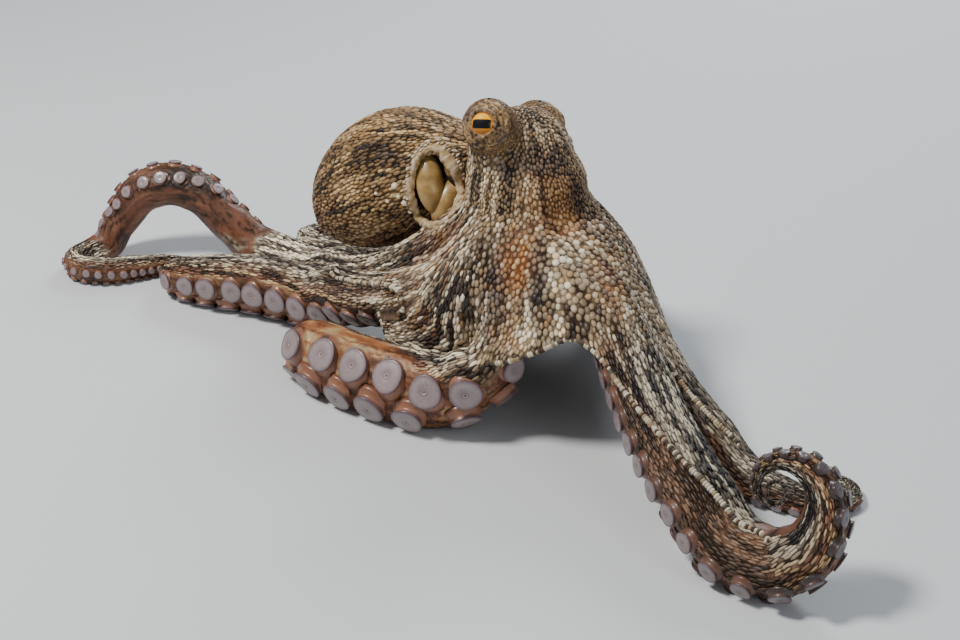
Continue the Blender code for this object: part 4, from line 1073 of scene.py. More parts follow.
def atlas(field):
    """A root's place on an unwrap of the body: a strip for each arm, and patches for web, mantle and head."""
    turn = np.arctan2(field["oral"], field["side"]) / (2 * math.pi) + 0.5
    u = (field["arm"] + 0.04 + 0.92 * turn) / 8
    v = 0.42 + 0.56 * field["along"] / LONGEST_ARM
    open_web = field["on_arm"] < 0.5
    v = np.where(open_web, 0.22 + 0.18 * np.clip(field["reach"] / 0.25, 0, 1), v)
    around = field["around"] / (2 * math.pi) + 0.5
    on_mantle, on_head = field["mantle"] > 0.5, field["head"] > 0.5
    u = np.where(on_mantle, 0.02 + 0.45 * around, np.where(on_head, 0.52 + 0.45 * around, u))
    v = np.where(on_mantle, 0.01 + 0.18 * np.clip(field["share"], 0, 1), np.where(on_head, 0.10, v))
    return np.stack([u, v], -1)


def set_colour(mesh, name, colours):
    attribute = mesh.attributes.new(name, "FLOAT_COLOR", "POINT")
    full = np.concatenate([colours, np.ones((len(colours), 1))], 1)
    attribute.data.foreach_set("color", full.astype(np.float32).ravel())


def set_value(mesh, name, values):
    mesh.attributes.new(name, "FLOAT", "POINT").data.foreach_set("value", np.asarray(values, np.float32))


def pebble_sizes(field, points):
    """Half length, half width and height of a pebble anywhere on the body."""
    arm_scale = np.clip(field["half"] / 0.020, 0.36, 1.0) * COARSER[field["arm"]]
    low = rises(field["reach"], 0.045, 0.09)
    left = falls(points[:, 0], 0.012, 0.035)
    front = np.exp(-(((points - np.array((0.062, -0.010, 0.118))) / (0.036, 0.042, 0.050)) ** 2).sum(1))
    long = 0.00270 + 0.00100 * np.maximum(low, left) * (1 - 0.8 * front) + 0.00045 * front
    wide = 0.00190 - 0.00055 * np.maximum(low, left) + 0.00095 * front
    tail = field["tail"]
    long = mixed(long, 0.00430 * arm_scale, tail)
    wide = mixed(wide, 0.00112 * arm_scale, tail)
    long = mixed(long, 0.00330, field["mantle"])
    wide = mixed(wide, 0.00150, field["mantle"])
    crown = field["head"] * (1 - field["mantle"]) * (1 - field["on_arm"] * low)
    long = mixed(long, 0.00185, crown * 0.85)
    wide = mixed(wide, 0.00125, crown * 0.85)
    long = mixed(long, 0.00110, np.maximum(field["mound"], field["rim"]))
    wide = mixed(wide, 0.00092, np.maximum(field["mound"], field["rim"]))
    vary = 0.76 + 0.48 * noise(points, 0.0130, 51)
    height = (0.47 - 0.13 * front) * wide * (1 - 0.75 * field["mound"])
    return long * vary, wide * vary, height


def bears_pebbles(points, field):
    """Which points can bear a pebble: on the outer side, off the floor, and clear of lids and pocket."""
    outer = (field["under"] < UNDER_LIMIT) & (points[:, 2] > 0.0015)
    for _, mound, _, look in EYES:
        near_eye = np.linalg.norm(points - mound, axis=1) < 1.4 * MOUND_RADIUS
        outer &= ~(near_eye & (unit(points - mound) @ look > math.cos(LID_SPAN - 0.10)))
    oval, depth = by_pocket(points)
    return outer & (oval ** 2 + (depth / 0.016) ** 2 > 1.02)


def build_pebbles(points, normals, field):
    """Every pebble on the skin's outer side, in joined pieces small enough to handle."""
    side = np.cross(normals, field["flow"])
    shift = (RNG.random((len(points), 2)) - 0.5) * VOXEL
    points = points + field["flow"] * shift[:, :1] + side * shift[:, 1:]
    keep = np.flatnonzero(bears_pebbles(points, field))
    points, normals = points[keep], normals[keep]
    field = {name: value[keep] for name, value in field.items()}
    long, wide, height = pebble_sizes(field, points)
    chosen = spread(points, field["flow"], long * PEBBLE_SPACING, wide * PEBBLE_SPACING)
    points, normals = points[chosen], normals[chosen]
    field = {name: value[chosen] for name, value in field.items()}
    jitter = 0.86 + 0.28 * RNG.random(len(points))
    long, wide, height = long[chosen] * jitter, wide[chosen] * jitter, height[chosen]
    height = height * (0.75 + 0.5 * RNG.random(len(points)))
    scatter = (0.22 - 0.10 * field["head"]) * (RNG.random(len(points)) - 0.5)
    colours = skin_colour(points, field, 0.06 + scatter)
    chance = RNG.random(len(points))
    light = 0.5 + colours.mean(1)[:, None] * 2.2
    colours = mixed(colours, OCHRE * light, 0.30 * (chance < 0.13) * (1 - field["tail"]))
    colours = mixed(colours, SLATE * 0.7, 0.40 * (chance > 0.95))
    colours = colours * (0.88 + 0.24 * RNG.random(len(points)))[:, None]
    uv = atlas(field)
    order = np.argsort(field["arm"] * 10 + (field["mantle"] > 0.5) * 100 + field["along"], kind="stable")
    drawn = (field["tail"] > 0.5)[order]
    made = []
    for label, dome, rows in (("round", ROUND_DOME, order[~drawn]), ("drawn", LONG_DOME, order[drawn])):
        per = dome[0] * (2 * len(dome[1]) - 1) + dome[0] - 2
        shares = int(math.ceil(len(rows) * per / PIECE_TRIANGLES))
        for number, part in enumerate(np.array_split(rows, shares), 1):
            made.append(dome_object(f"{label}_pebbles_{number}", dome, points[part], normals[part],
                                    field["flow"][part], long[part], wide[part], height[part], colours[part],
                                    uv[part]))
    print("pebbles", len(order), "drawn", int(drawn.sum()), "pieces", len(made))
    return made


def build_warts(points, normals, field):
    """Single larger beads: pale warts by the pocket, and small horns over each eye."""
    places = np.array([place for place, _, _ in WARTS])
    rows = nearest(places, points)
    radius = np.array([size for _, size, _ in WARTS])
    rise = np.array([height for _, _, height in WARTS])
    colours = np.where((radius < 0.0013)[:, None], UMBER, CREAM)
    uv = atlas({name: value[rows] for name, value in field.items()})
    return dome_object("warts", ROUND_DOME, points[rows], normals[rows], field["flow"][rows], radius * 1.1,
                       radius, rise, colours, uv)


def rope_curve():
    """Where the web's free edge crosses arm R1's near side, and the way across it: up the arm's back."""
    s = np.linspace(ROPE_LINE[0][0], ROPE_LINE[0][-1], 500)
    y = np.interp(s, *ROPE_LINE)
    x = -np.sqrt(np.maximum(1 - np.where(y > 0, y / ORAL_FLATNESS, y) ** 2, 0.0))
    centre, _, oral, side, half, depth = ARMS["arm_r1"].frame(s)
    out = x[:, None] * side * half[:, None] + y[:, None] * oral * depth[:, None]
    return centre + out * (1 + 0.0004 / half[:, None]), unit(out)


def bead_rope(edge, inner, t):
    """Beads side by side along an edge: their places, their ways along, across and out, and their sizes."""
    run = np.concatenate([[0], np.cumsum(np.linalg.norm(np.diff(edge, axis=0), axis=1))])
    count = int(run[-1] / BEAD_STEP)
    at_t = np.interp((np.arange(count) + 0.5) * BEAD_STEP, run, t)
    pick = lambda curve: np.stack([np.interp(at_t, t, curve[:, k]) for k in range(3)], -1)
    along = unit(pick(np.gradient(edge, axis=0)))
    across = pick(edge - inner)
    across = unit(across - (across * along).sum(1)[:, None] * along)
    size = (0.80 + 0.40 * RNG.random(count)) * np.clip(np.minimum(at_t, 1 - at_t) / 0.04, 0.3, 1.0)
    return pick(edge), along, across, np.cross(along, across), size


def fold_curve(points, normals):
    """The web's fold laid on the skin: the skin points nearest its line, smoothed, and the way outwards."""
    rows = nearest(FOLD, points)
    span = 9
    ends = ((span // 2, span // 2), (0, 0))
    blur = lambda curve: np.mean([np.pad(curve, ends, "edge")[k:k + len(curve)] for k in range(span)], axis=0)
    return blur(points[rows]), unit(blur(normals[rows]))


def unit_ball(rings, sides):
    """A ball of radius 1 by latitude and longitude: its points, quads and triangles."""
    theta = np.linspace(0, math.pi, rings + 2)[1:-1]
    phi = np.linspace(0, 2 * math.pi, sides, endpoint=False)
    x, y = np.outer(np.sin(theta), np.cos(phi)), np.outer(np.sin(theta), np.sin(phi))
    ball = np.stack([x, y, np.outer(np.cos(theta), np.ones(sides))], -1)
    return closed_tube(ball, (0, 0, 1.0), (0, 0, -1.0))


def build_margins(points, normals):
    """Ropes of beads, cream, brown and dark by turns: the webs' free edges, the one over arm R1, the fold."""
    verts, quads, tris, colours = [], [], [], []
    ball, ring_quads, caps = unit_ball(4, 8)
    t = np.linspace(0.0, 1.0, 800)
    ropes = [bead_rope(web_points(web, np.ones(len(t)), t), web_points(web, np.full(len(t), 0.97), t), t)
             for web in WEBS]
    for line, outwards in (rope_curve(), fold_curve(points, normals)):
        inner = line - 0.001 * np.cross(unit(np.gradient(line, axis=0)), outwards)
        ropes.append(bead_rope(line, inner, np.linspace(0, 1, len(line))))
    first = 0
    for centre, along, across, normal, size in ropes:
        count = len(centre)
        body = (ball[None, :, :1] * (across * (BEAD_HALF[0] * size)[:, None])[:, None]
                + ball[None, :, 1:2] * (normal * (BEAD_HALF[1] * size)[:, None])[:, None]
                + ball[None, :, 2:] * (along * BEAD_HALF[2])[:, None])
        verts.append((centre[:, None] + body).reshape(-1, 3))
        base = first + np.arange(count)[:, None, None] * len(ball)
        quads.append((ring_quads[None] + base).reshape(-1, 4))
        tris.append((caps[None] + base).reshape(-1, 3))
        choice = RNG.choice(4, count, p=(0.46, 0.26, 0.16, 0.12))
        tone = np.array((CREAM * 0.66, STONE * 1.05, UMBER * 2.2, ASH * 0.42))[choice]
        colours.append(np.repeat(tone * (0.8 + 0.4 * RNG.random(count))[:, None], len(ball), axis=0))
        first += count * len(ball)
    verts = np.concatenate(verts)
    verts[:, 2] = np.maximum(verts[:, 2], 0.0)
    obj = outward(mesh_object("web_margin_beads", verts + PLACE, np.concatenate(quads), np.concatenate(tris)))
    set_colour(obj.data, "tint", np.concatenate(colours))
    return obj


def build_lids(name, mound, centre, look):
    """The skin round an eye: a cap of the mound with a thick lid, folds round it and fine wrinkles between.

    On the mound's sphere at angle a from the look and turn b round it, the lift is a sum of rounded rings in
    a: the lid's lip, a groove, a second fold and a groove.  Wrinkles and pits are added; both edges sink.
    """
    opening = 20.5
    a = np.linspace(math.radians(opening), LID_SPAN, 66)
    b = np.linspace(0, 2 * math.pi, 200, endpoint=False)
    right = unit(np.cross(look, (0, 0, 1.0)))
    up = np.cross(right, look)
    aa, bb = np.meshgrid(a, b, indexing="ij")
    way = (np.cos(aa)[..., None] * look + (np.sin(aa) * np.cos(bb))[..., None] * right
           + (np.sin(aa) * np.sin(bb))[..., None] * up)
    reach = np.degrees(aa) + 2.2 * np.sin(bb * 2 + 0.6) + 1.6 * np.sin(bb * 3 + 2.0)
    top = np.clip(np.sin(bb), -0.3, 1)
    lift = 0.00140 * bell(reach, 28.5, 4.5) * (1 + 0.45 * top) - 0.00035 * bell(reach, 36.5, 2.6)
    lift += 0.00030 * bell(reach, 42.5, 3.2) * (1 + 0.8 * top) - 0.00015 * bell(reach, 48.5, 2.6)
    flat = (mound + way * MOUND_RADIUS).reshape(-1, 3)
    away = unit(way - (way @ look)[..., None] * look).reshape(-1, 3)
    folds = (0.55 * drawn_noise(flat, np.cross(way.reshape(-1, 3), away), 0.0013, 0.0026, 61)
             + 0.45 * drawn_noise(flat, away, 0.0012, 0.0030, 66)).reshape(aa.shape)
    pits = noise(flat, 0.0012, 62).reshape(aa.shape) + 0.6 * noise(flat, 0.0007, 63).reshape(aa.shape)
    open_skin = rises(np.degrees(aa), 26, 8)
    lift += open_skin * (0.00085 * (folds - 0.5) + 0.00060 * (pits - 0.8))
    lift += 0.00055 * (1 - rises(np.degrees(aa), 60, 16))
    lift -= 0.0022 * rises(np.degrees(aa), 64, 14)
    lift -= 0.0022 * (1 - smoothstep((np.degrees(aa) - opening) / 4.2))
    rings = mound + way * (MOUND_RADIUS - 0.0004 + lift)[..., None]
    verts, quads, tris = closed_tube(rings, centre + look * 0.006, mound + look * 0.004)
    obj = outward(mesh_object(name + "_lids", verts + PLACE, quads, tris))
    broad = noise(flat, 0.0060, 65).reshape(aa.shape)
    # Painted shade and light: the colour follows the folds and pits that shape the lid, darker in grooves and
    # pits, lighter on the ridges.
    shade = 0.40 + 0.95 * (folds - 0.5) + 0.75 * (pits - 0.8) + 0.30 * (broad - 0.5)
    shade = np.clip(shade, 0, 1).ravel()
    colour = tones(PEAT * 1.5, HONEY * 1.12, TAN, shade)
    patch = noise(flat, 0.0075, 64)
    colour = mixed(colour, tones(SOOT, SLATE, STONE, shade), 0.60 * rises(patch, 0.48, 0.2))
    colour = mixed(colour, tones(UMBER, HONEY * 0.8, TAN * 0.8, shade), 0.6 * bell(reach, 25.5, 3.0).ravel())
    set_colour(obj.data, "tint", np.concatenate([colour, [UMBER, UMBER]]))
    return obj


# ---------------------------------------------------------------- suckers
# Turned profiles, in shares of the radius out from the axis and up it: stalk, rim, disc and ringed middle.
LARGE_PROFILE = [(1.34, -SUCKER_SINK), (1.16, -0.22), (0.98, -0.05), (0.93, 0.06), (0.99, 0.17), (1.03, 0.25),
                 (0.98, 0.33), (0.89, 0.315), (0.80, 0.335), (0.52, 0.385), (0.27, 0.375), (0.19, 0.345),
                 (0.14, 0.365), (0.09, 0.34), (0.05, 0.29)]
SMALL_PROFILE = [(1.28, -SUCKER_SINK), (0.95, -0.04), (1.00, 0.26), (0.88, 0.32), (0.50, 0.37), (0.16, 0.34)]


def sucker_set(name, arm, places, profile, sides):
    """A turned profile set on the arm's under side at each place, leaning out to its row's side.

    Its points, quads, triangles and, for each point, how far round the profile it lies, from stalk to middle.
    """
    s, row, radius = places.T
    radius = radius * SUCKER_SWELL.get(name, 1.0)
    lean = 0.55 - 0.42 * rises(s, 0.27, 0.05) * (name == "arm_r1")
    foot, tangent, oral, side = sucker_feet(arm, places)
    axis = unit(oral + (lean * row)[:, None] * side)
    u = unit(tangent - (tangent * axis).sum(1)[:, None] * axis)
    v = np.cross(axis, u)
    angle = np.linspace(0, 2 * math.pi, sides, endpoint=False)
    wobble = 1 + 0.035 * np.sin(angle * 3 + 6.3 * RNG.random(len(s))[:, None])
    r, h = np.array(profile).T
    squash = 0.90 + 0.12 * RNG.random(len(s))
    across = np.cos(angle) * wobble * squash[:, None]
    upward = np.sin(angle) * wobble
    ring = across[..., None] * u[:, None] + upward[..., None] * v[:, None]
    verts = (foot[:, None, None] + ring[:, None] * (r[None, :] * radius[:, None])[..., None, None]
             + axis[:, None, None] * (h[None, :] * radius[:, None])[..., None, None])
    low = foot - axis * (SUCKER_SINK * radius)[:, None]
    top = foot + axis * (0.27 * radius)[:, None]
    per = len(r) * sides + 2
    verts = np.concatenate([verts.reshape(len(s), -1, 3), low[:, None], top[:, None]], axis=1)
    base = np.arange(len(s))[:, None, None] * per
    quads = (tube_faces(len(r), sides)[None] + base).reshape(-1, 4)
    last = (len(r) - 1) * sides
    tris = np.concatenate([fan_faces(per - 2, 0, sides), fan_faces(per - 1, last, sides, True)])
    tris = (tris[None] + base).reshape(-1, 3)
    verts = verts.reshape(-1, 3)
    verts[:, 2] = np.maximum(verts[:, 2], 0.0)
    cup = np.concatenate([np.repeat(np.arange(len(r)) / (len(r) - 1.0), sides), [0.0, 1.0]])
    return verts, quads, tris, np.tile(cup, len(s))


def sucker_shade(name, arm, places, verts):
    """How light each point's own sucker is: at random, darker by arm R3's root as painted shade in the recess
    there, and darker toward R1's coil.
    """
    which = nearest(verts, sucker_feet(arm, places)[0])
    s = places[which, 0]
    own = 0.14 * RNG.random(len(places))[which]
    # Painted shade: arm R3's suckers by its root, in the recess under the web.
    r3_root_shade = (name == "arm_r3") * 0.25 * falls(s, 0.13, 0.02)
    return 1 - own - r3_root_shade - (name == "arm_r1") * (0.20 + 0.48 * rises(s, 0.27, 0.07))


def build_suckers():
    """One joined piece for each arm's suckers: the large ones finely turned, the small ones plainer."""
    made = []
    for name, arm in ARMS.items():
        places = SUCKERS[name]
        big = places[:, 2] > LARGE_SUCKER
        forms, cup, shade = [], [], []
        for chosen, profile, sides in ((big, LARGE_PROFILE, 22), (~big, SMALL_PROFILE, 12)):
            if chosen.any():
                forms.append(sucker_set(name, arm, places[chosen], profile, sides))
        for verts, _, _, inward in forms:
            cup.append(inward)
            shade.append(sucker_shade(name, arm, places, verts))
        obj = joined("suckers_" + name, [(verts + PLACE, quads, tris) for verts, quads, tris, _ in forms])
        set_value(obj.data, "cup", np.concatenate(cup))
        set_value(obj.data, "shade", np.concatenate(shade))
        made.append(outward(obj))
    return made


# ---------------------------------------------------------------- eyes and lobes
def build_eye(name, centre, look):
    """A ball turned to its look; its iris map holds places across and up the visible iris, 1 at its edge."""
    right = unit(np.cross(look, (0, 0, 1.0)))
    up = np.cross(right, look)
    theta = (0.5 - 0.5 * np.cos(np.linspace(0, math.pi, 49)))[1:-1] * math.pi   # closer rings at both ends
    phi = np.linspace(0, 2 * math.pi, 64, endpoint=False)
    flat = np.sin(theta)[:, None] * np.cos(phi)[None], np.sin(theta)[:, None] * np.sin(phi)[None]
    rings = centre + EYE_RADIUS * (np.cos(theta)[:, None, None] * look + flat[0][..., None] * right
                                   + flat[1][..., None] * up)
    verts, quads, tris = closed_tube(rings, centre + EYE_RADIUS * look, centre - EYE_RADIUS * look)
    obj = outward(mesh_object(name + "_ball", verts + PLACE, quads, tris))
    scale = EYE_RADIUS / VISIBLE_IRIS
    x = np.append(flat[0].ravel() * scale, [0.0, 0.0])
    y = np.append(flat[1].ravel() * scale, [0.0, 0.0])
    behind = np.append(np.repeat(theta > math.pi / 2, len(phi)), [False, True])
    outside = 3.0
    set_value(obj.data, "iris_x", np.where(behind, outside, x))
    set_value(obj.data, "iris_y", np.where(behind, outside, y))
    return obj


def build_pocket_rim(points):
    """The pocket's thick lip: a lumpy tube round the opening, its depth that of the skin under it, smoothed.

    In the pocket's face the tube follows an oval; its radius swells and shrinks by noise, so it looks beaded.
    """
    steps, sides = 300, 18
    right, up, into = pocket_frame()
    d = points - POCKET
    face = np.stack([d @ right, d @ up], -1)
    depth = d @ into
    share = np.sqrt(((face / POCKET_RADII[:2]) ** 2).sum(1))
    close = (share > 0.85) & (share < 1.35) & (depth < 0.020) & (depth > -0.030)
    face, depth = face[close], depth[close]
    turn = np.linspace(0, 2 * math.pi, steps, endpoint=False)
    oval = np.stack([np.cos(turn) * POCKET_RADII[0], np.sin(turn) * POCKET_RADII[1]], -1)
    oval *= (1.02 - 0.17 * bell(turn, 0.75, 0.55))[:, None]
    gap = np.linalg.norm(oval[:, None] - face[None], axis=2)
    level = np.where(gap < 0.0028, depth[None], 9.0).min(1)
    level = np.where(level > 1, np.median(level), level)
    level = np.clip(level, np.median(level) - 0.009, None)
    wave = np.fft.rfft(level)
    level = np.fft.irfft(wave * (np.arange(len(wave)) < 7), len(level)) + 0.0018
    path = POCKET + oval[:, :1] * right + oval[:, 1:] * up + level[:, None] * into
    along = unit(np.roll(path, -1, axis=0) - np.roll(path, 1, axis=0))
    away = unit(path - POCKET - ((path - POCKET) * along).sum(1)[:, None] * along)
    third = np.cross(along, away)
    phi = np.linspace(0, 2 * math.pi, sides, endpoint=False)
    way = np.cos(phi)[None, :, None] * away[:, None] + np.sin(phi)[None, :, None] * third[:, None]
    flat = (path[:, None] + 0.003 * way).reshape(-1, 3)
    lumps = noise(flat, 0.0026, 81) + 0.5 * noise(flat, 0.0012, 82)
    thick = 0.0017 + 0.0022 * bell(turn, 0.85, 0.55)
    ring = path[:, None] + way * (thick[:, None] + 0.0016 * lumps.reshape(steps, sides))[..., None]
    i, j = np.meshgrid(np.arange(steps), np.arange(sides), indexing="ij")
    here, ahead, k = i * sides, (i + 1) % steps * sides, (j + 1) % sides
    quads = np.stack([here + j, ahead + j, ahead + k, here + k], -1)
    obj = outward(mesh_object("pocket_rim", ring.reshape(-1, 3) + PLACE, quads.reshape(-1, 4)))
    tone = 0.30 * noise(flat, 0.0070, 83) + 0.55 * lumps
    set_colour(obj.data, "tint", tones(PEAT * 1.6, TAN * 0.72, CREAM * 0.80, np.clip(tone, 0, 1)))
    return obj


def build_lobes():
    """The two smooth lobes in the pocket: eggs drawn out to points."""
    made = []
    lobes = (("collar_lobe", (-0.0045, 0.0015, 0.0035), (0.0098, 0.0215, 0.0085), -0.10),
             ("funnel", (0.0075, -0.0010, -0.0100), (0.0098, 0.0185, 0.0085), 0.45))
    for name, offset, radii, roll in lobes:
        verts, quads, tris = egg_form(POCKET + np.array(offset), radii, roll, 0.80)
        made.append(outward(mesh_object(name + "_flesh", verts + PLACE, quads, tris)))
    return made


# ---------------------------------------------------------------- materials
def group(name, inputs, outputs):
    """A new shader node group with its named sockets; returns the tree and its two end nodes."""
    tree = bpy.data.node_groups.new(name, "ShaderNodeTree")
    for label, kind, value in inputs:
        socket = tree.interface.new_socket(label, in_out="INPUT", socket_type=kind)
        socket.default_value = value
    for label, kind in outputs:
        tree.interface.new_socket(label, in_out="OUTPUT", socket_type=kind)
    return tree, tree.nodes.new("NodeGroupInput"), tree.nodes.new("NodeGroupOutput")


def node(tree, kind, **settings):
    made = tree.nodes.new(kind)
    for key, value in settings.items():
        if key in made.inputs:
            made.inputs[key].default_value = value
        else:
            setattr(made, key, value)
    return made


def math_node(tree, operation, a, b=None, clamp=False):
    made = tree.nodes.new("ShaderNodeMath")
    made.operation, made.use_clamp = operation, clamp
    for socket, value in zip(made.inputs, (a, b)):
        if value is None:
            continue
        if isinstance(value, (int, float)):
            socket.default_value = value
        else:
            tree.links.new(value, socket)
    return made.outputs[0]


def mix_node(tree, factor, a, b, blend="MIX"):
    made = tree.nodes.new("ShaderNodeMix")
    made.data_type, made.blend_type = "RGBA", blend
    for label, value in (("Factor", factor), ("A", a), ("B", b)):
        socket = next(s for s in made.inputs if s.name == label and (s.type == "VALUE") == (label == "Factor")
                      and (label == "Factor" or s.type == "RGBA"))
        if isinstance(value, (int, float)):
            socket.default_value = value
        elif isinstance(value, (tuple, np.ndarray)):
            socket.default_value = tuple(value)[:3] + (1.0,)
        else:
            tree.links.new(value, socket)
    return next(s for s in made.outputs if s.type == "RGBA")


def wet_grain_group():
    """Fine grain of wet skin: a mottle on the colour, patchy gloss and a height for bump."""
    tree, start, end = group("wet skin grain", [("Colour", "NodeSocketColor", (0.5, 0.4, 0.3, 1)),
                                                ("Grain size", "NodeSocketFloat", 0.001),
                                                ("Mottle", "NodeSocketFloat", 0.3),
                                                ("Gloss", "NodeSocketFloat", 0.4)],
                             [("Colour", "NodeSocketColor"), ("Roughness", "NodeSocketFloat"),
                              ("Height", "NodeSocketFloat")])
    where = tree.nodes.new("ShaderNodeTexCoord")
    scale = math_node(tree, "DIVIDE", 1.0, start.outputs["Grain size"])
    fine = node(tree, "ShaderNodeTexNoise", Detail=3.0, Roughness=0.6)
    tree.links.new(where.outputs["Object"], fine.inputs["Vector"])
    tree.links.new(scale, fine.inputs["Scale"])
    broad = node(tree, "ShaderNodeTexNoise", Detail=2.0, Roughness=0.5)
    tree.links.new(where.outputs["Object"], broad.inputs["Vector"])
    tree.links.new(math_node(tree, "MULTIPLY", scale, 0.16), broad.inputs["Scale"])
    centred = math_node(tree, "SUBTRACT", fine.outputs["Fac"], 0.5)
    shade = math_node(tree, "ADD", 1.0, math_node(tree, "MULTIPLY", centred, start.outputs["Mottle"]))
    broad_shade = math_node(tree, "ADD", 0.90, math_node(tree, "MULTIPLY", broad.outputs["Fac"], 0.20))
    both = math_node(tree, "MULTIPLY", shade, broad_shade)
    scaled = tree.nodes.new("ShaderNodeVectorMath")
    scaled.operation = "SCALE"
    tree.links.new(start.outputs["Colour"], scaled.inputs[0])
    tree.links.new(both, scaled.inputs["Scale"])
    tree.links.new(scaled.outputs[0], end.inputs["Colour"])
    rough = math_node(tree, "MULTIPLY", broad.outputs["Fac"], 0.30)
    tree.links.new(math_node(tree, "ADD", start.outputs["Gloss"], rough, True), end.inputs["Roughness"])
    tree.links.new(fine.outputs["Fac"], end.inputs["Height"])
    return tree


def principled(name):
    material = bpy.data.materials.new(name)
    material.use_nodes = True
    return material, material.node_tree, material.node_tree.nodes["Principled BSDF"]


def finish_skin(tree, shader, grain_group, colour, grain, mottle, gloss, bump, depth):
    """Puts a colour through the wet grain and into the shader, with its bump."""
    grain_node = tree.nodes.new("ShaderNodeGroup")
    grain_node.node_tree = grain_group
    tree.links.new(colour, grain_node.inputs["Colour"])
    grain_node.inputs["Grain size"].default_value = grain
    grain_node.inputs["Mottle"].default_value = mottle
    grain_node.inputs["Gloss"].default_value = gloss
    tree.links.new(grain_node.outputs["Colour"], shader.inputs["Base Color"])
    tree.links.new(grain_node.outputs["Roughness"], shader.inputs["Roughness"])
    bump_node = node(tree, "ShaderNodeBump", Strength=bump, Distance=depth)
    tree.links.new(grain_node.outputs["Height"], bump_node.inputs["Height"])
    tree.links.new(bump_node.outputs["Normal"], shader.inputs["Normal"])
    return grain_node


UNDER_SKIN = "skin between the pebbles"


def tinted_skin(name, grain_group, grain, mottle, gloss, bump, depth, coat):
    """Skin that takes its colour from its points; the skin under the pebbles is matt where "bare" is 0."""
    material, tree, shader = principled(name)
    attribute = node(tree, "ShaderNodeAttribute", attribute_name="tint")
    colour = attribute.outputs["Color"]
    grain_node = finish_skin(tree, shader, grain_group, colour, grain, mottle, gloss, bump, depth)
    shader.inputs["Coat Weight"].default_value = coat
    if name == UNDER_SKIN:
        bare = node(tree, "ShaderNodeAttribute", attribute_name="bare").outputs["Fac"]
        matt = math_node(tree, "MULTIPLY", math_node(tree, "SUBTRACT", 1.0, bare), 0.7)
        rough = math_node(tree, "ADD", grain_node.outputs["Roughness"], matt, True)
        tree.links.new(rough, shader.inputs["Roughness"])
        tree.links.new(math_node(tree, "MULTIPLY", bare, coat), shader.inputs["Coat Weight"])
    shader.inputs["Coat Roughness"].default_value = 0.25
    shader.inputs["Specular IOR Level"].default_value = 0.30
    return material


def ramp(tree, value, *stops):
    made = tree.nodes.new("ShaderNodeValToRGB")
    tree.links.new(value, made.inputs["Fac"])
    elements = made.color_ramp.elements
    while len(elements) < len(stops):
        elements.new(0.5)
    for element, (place, colour) in zip(elements, stops):
        element.position = place
        element.color = tuple(colour)[:3] + (1.0,)
    return made.outputs["Color"]


def sucker_material(grain_group):
    """Stalk in the arm's orange, a violet rim, a pale lilac disc and a small ringed middle; darker suckers
    get painted shade on their stalks.
    """
    material, tree, shader = principled("sucker flesh")
    cup = node(tree, "ShaderNodeAttribute", attribute_name="cup")
    colour = ramp(tree, cup.outputs["Fac"], (0.00, tint(116, 70, 46)), (0.16, tint(146, 98, 72)),
                  (0.30, tint(122, 92, 86)), (0.38, tint(84, 62, 72)), (0.47, tint(122, 104, 108)),
                  (0.60, tint(146, 131, 131)), (0.74, tint(134, 118, 118)), (0.80, tint(112, 94, 98)),
                  (0.86, tint(168, 152, 148)), (0.94, tint(132, 112, 112)))
    shade = node(tree, "ShaderNodeAttribute", attribute_name="shade")
    # The shade value darkens the whole sucker: its own tone at random, painted shade by arm R3's root, and
    # darker toward arm R1's coil.
    colour = mix_node(tree, shade.outputs["Fac"], tint(44, 36, 40), colour)
    # Painted shade under the discs: the stalks of darker suckers are darkened further.
    stalk = ramp(tree, cup.outputs["Fac"], (0.10, (1, 1, 1)), (0.40, (0, 0, 0)))
    painted_stalk_shade = math_node(tree, "MULTIPLY", math_node(tree, "SUBTRACT", 0.88, shade.outputs["Fac"]), 3.6, True)
    colour = mix_node(tree, math_node(tree, "MULTIPLY", painted_stalk_shade, stalk), colour, tint(50, 34, 27))
    finish_skin(tree, shader, grain_group, colour, 0.0022, 0.50, 0.34, 0.30, 0.0003)
    shader.inputs["Coat Weight"].default_value = 0.30
    shader.inputs["Coat Roughness"].default_value = 0.15
    return material


def lobe_material(grain_group):
    material, tree, shader = principled("smooth pocket flesh")
    where = tree.nodes.new("ShaderNodeTexCoord")
    cloud = node(tree, "ShaderNodeTexNoise", Scale=90.0, Detail=3.0)
    tree.links.new(where.outputs["Object"], cloud.inputs["Vector"])
    colour = ramp(tree, cloud.outputs["Fac"], (0.30, tint(120, 88, 44)), (0.50, tint(154, 122, 68)),
                  (0.70, tint(184, 154, 100)))
    finish_skin(tree, shader, grain_group, colour, 0.0012, 0.25, 0.25, 0.20, 0.0002)
    shader.inputs["Coat Weight"].default_value = 0.35
    shader.inputs["Coat Roughness"].default_value = 0.20
    return material


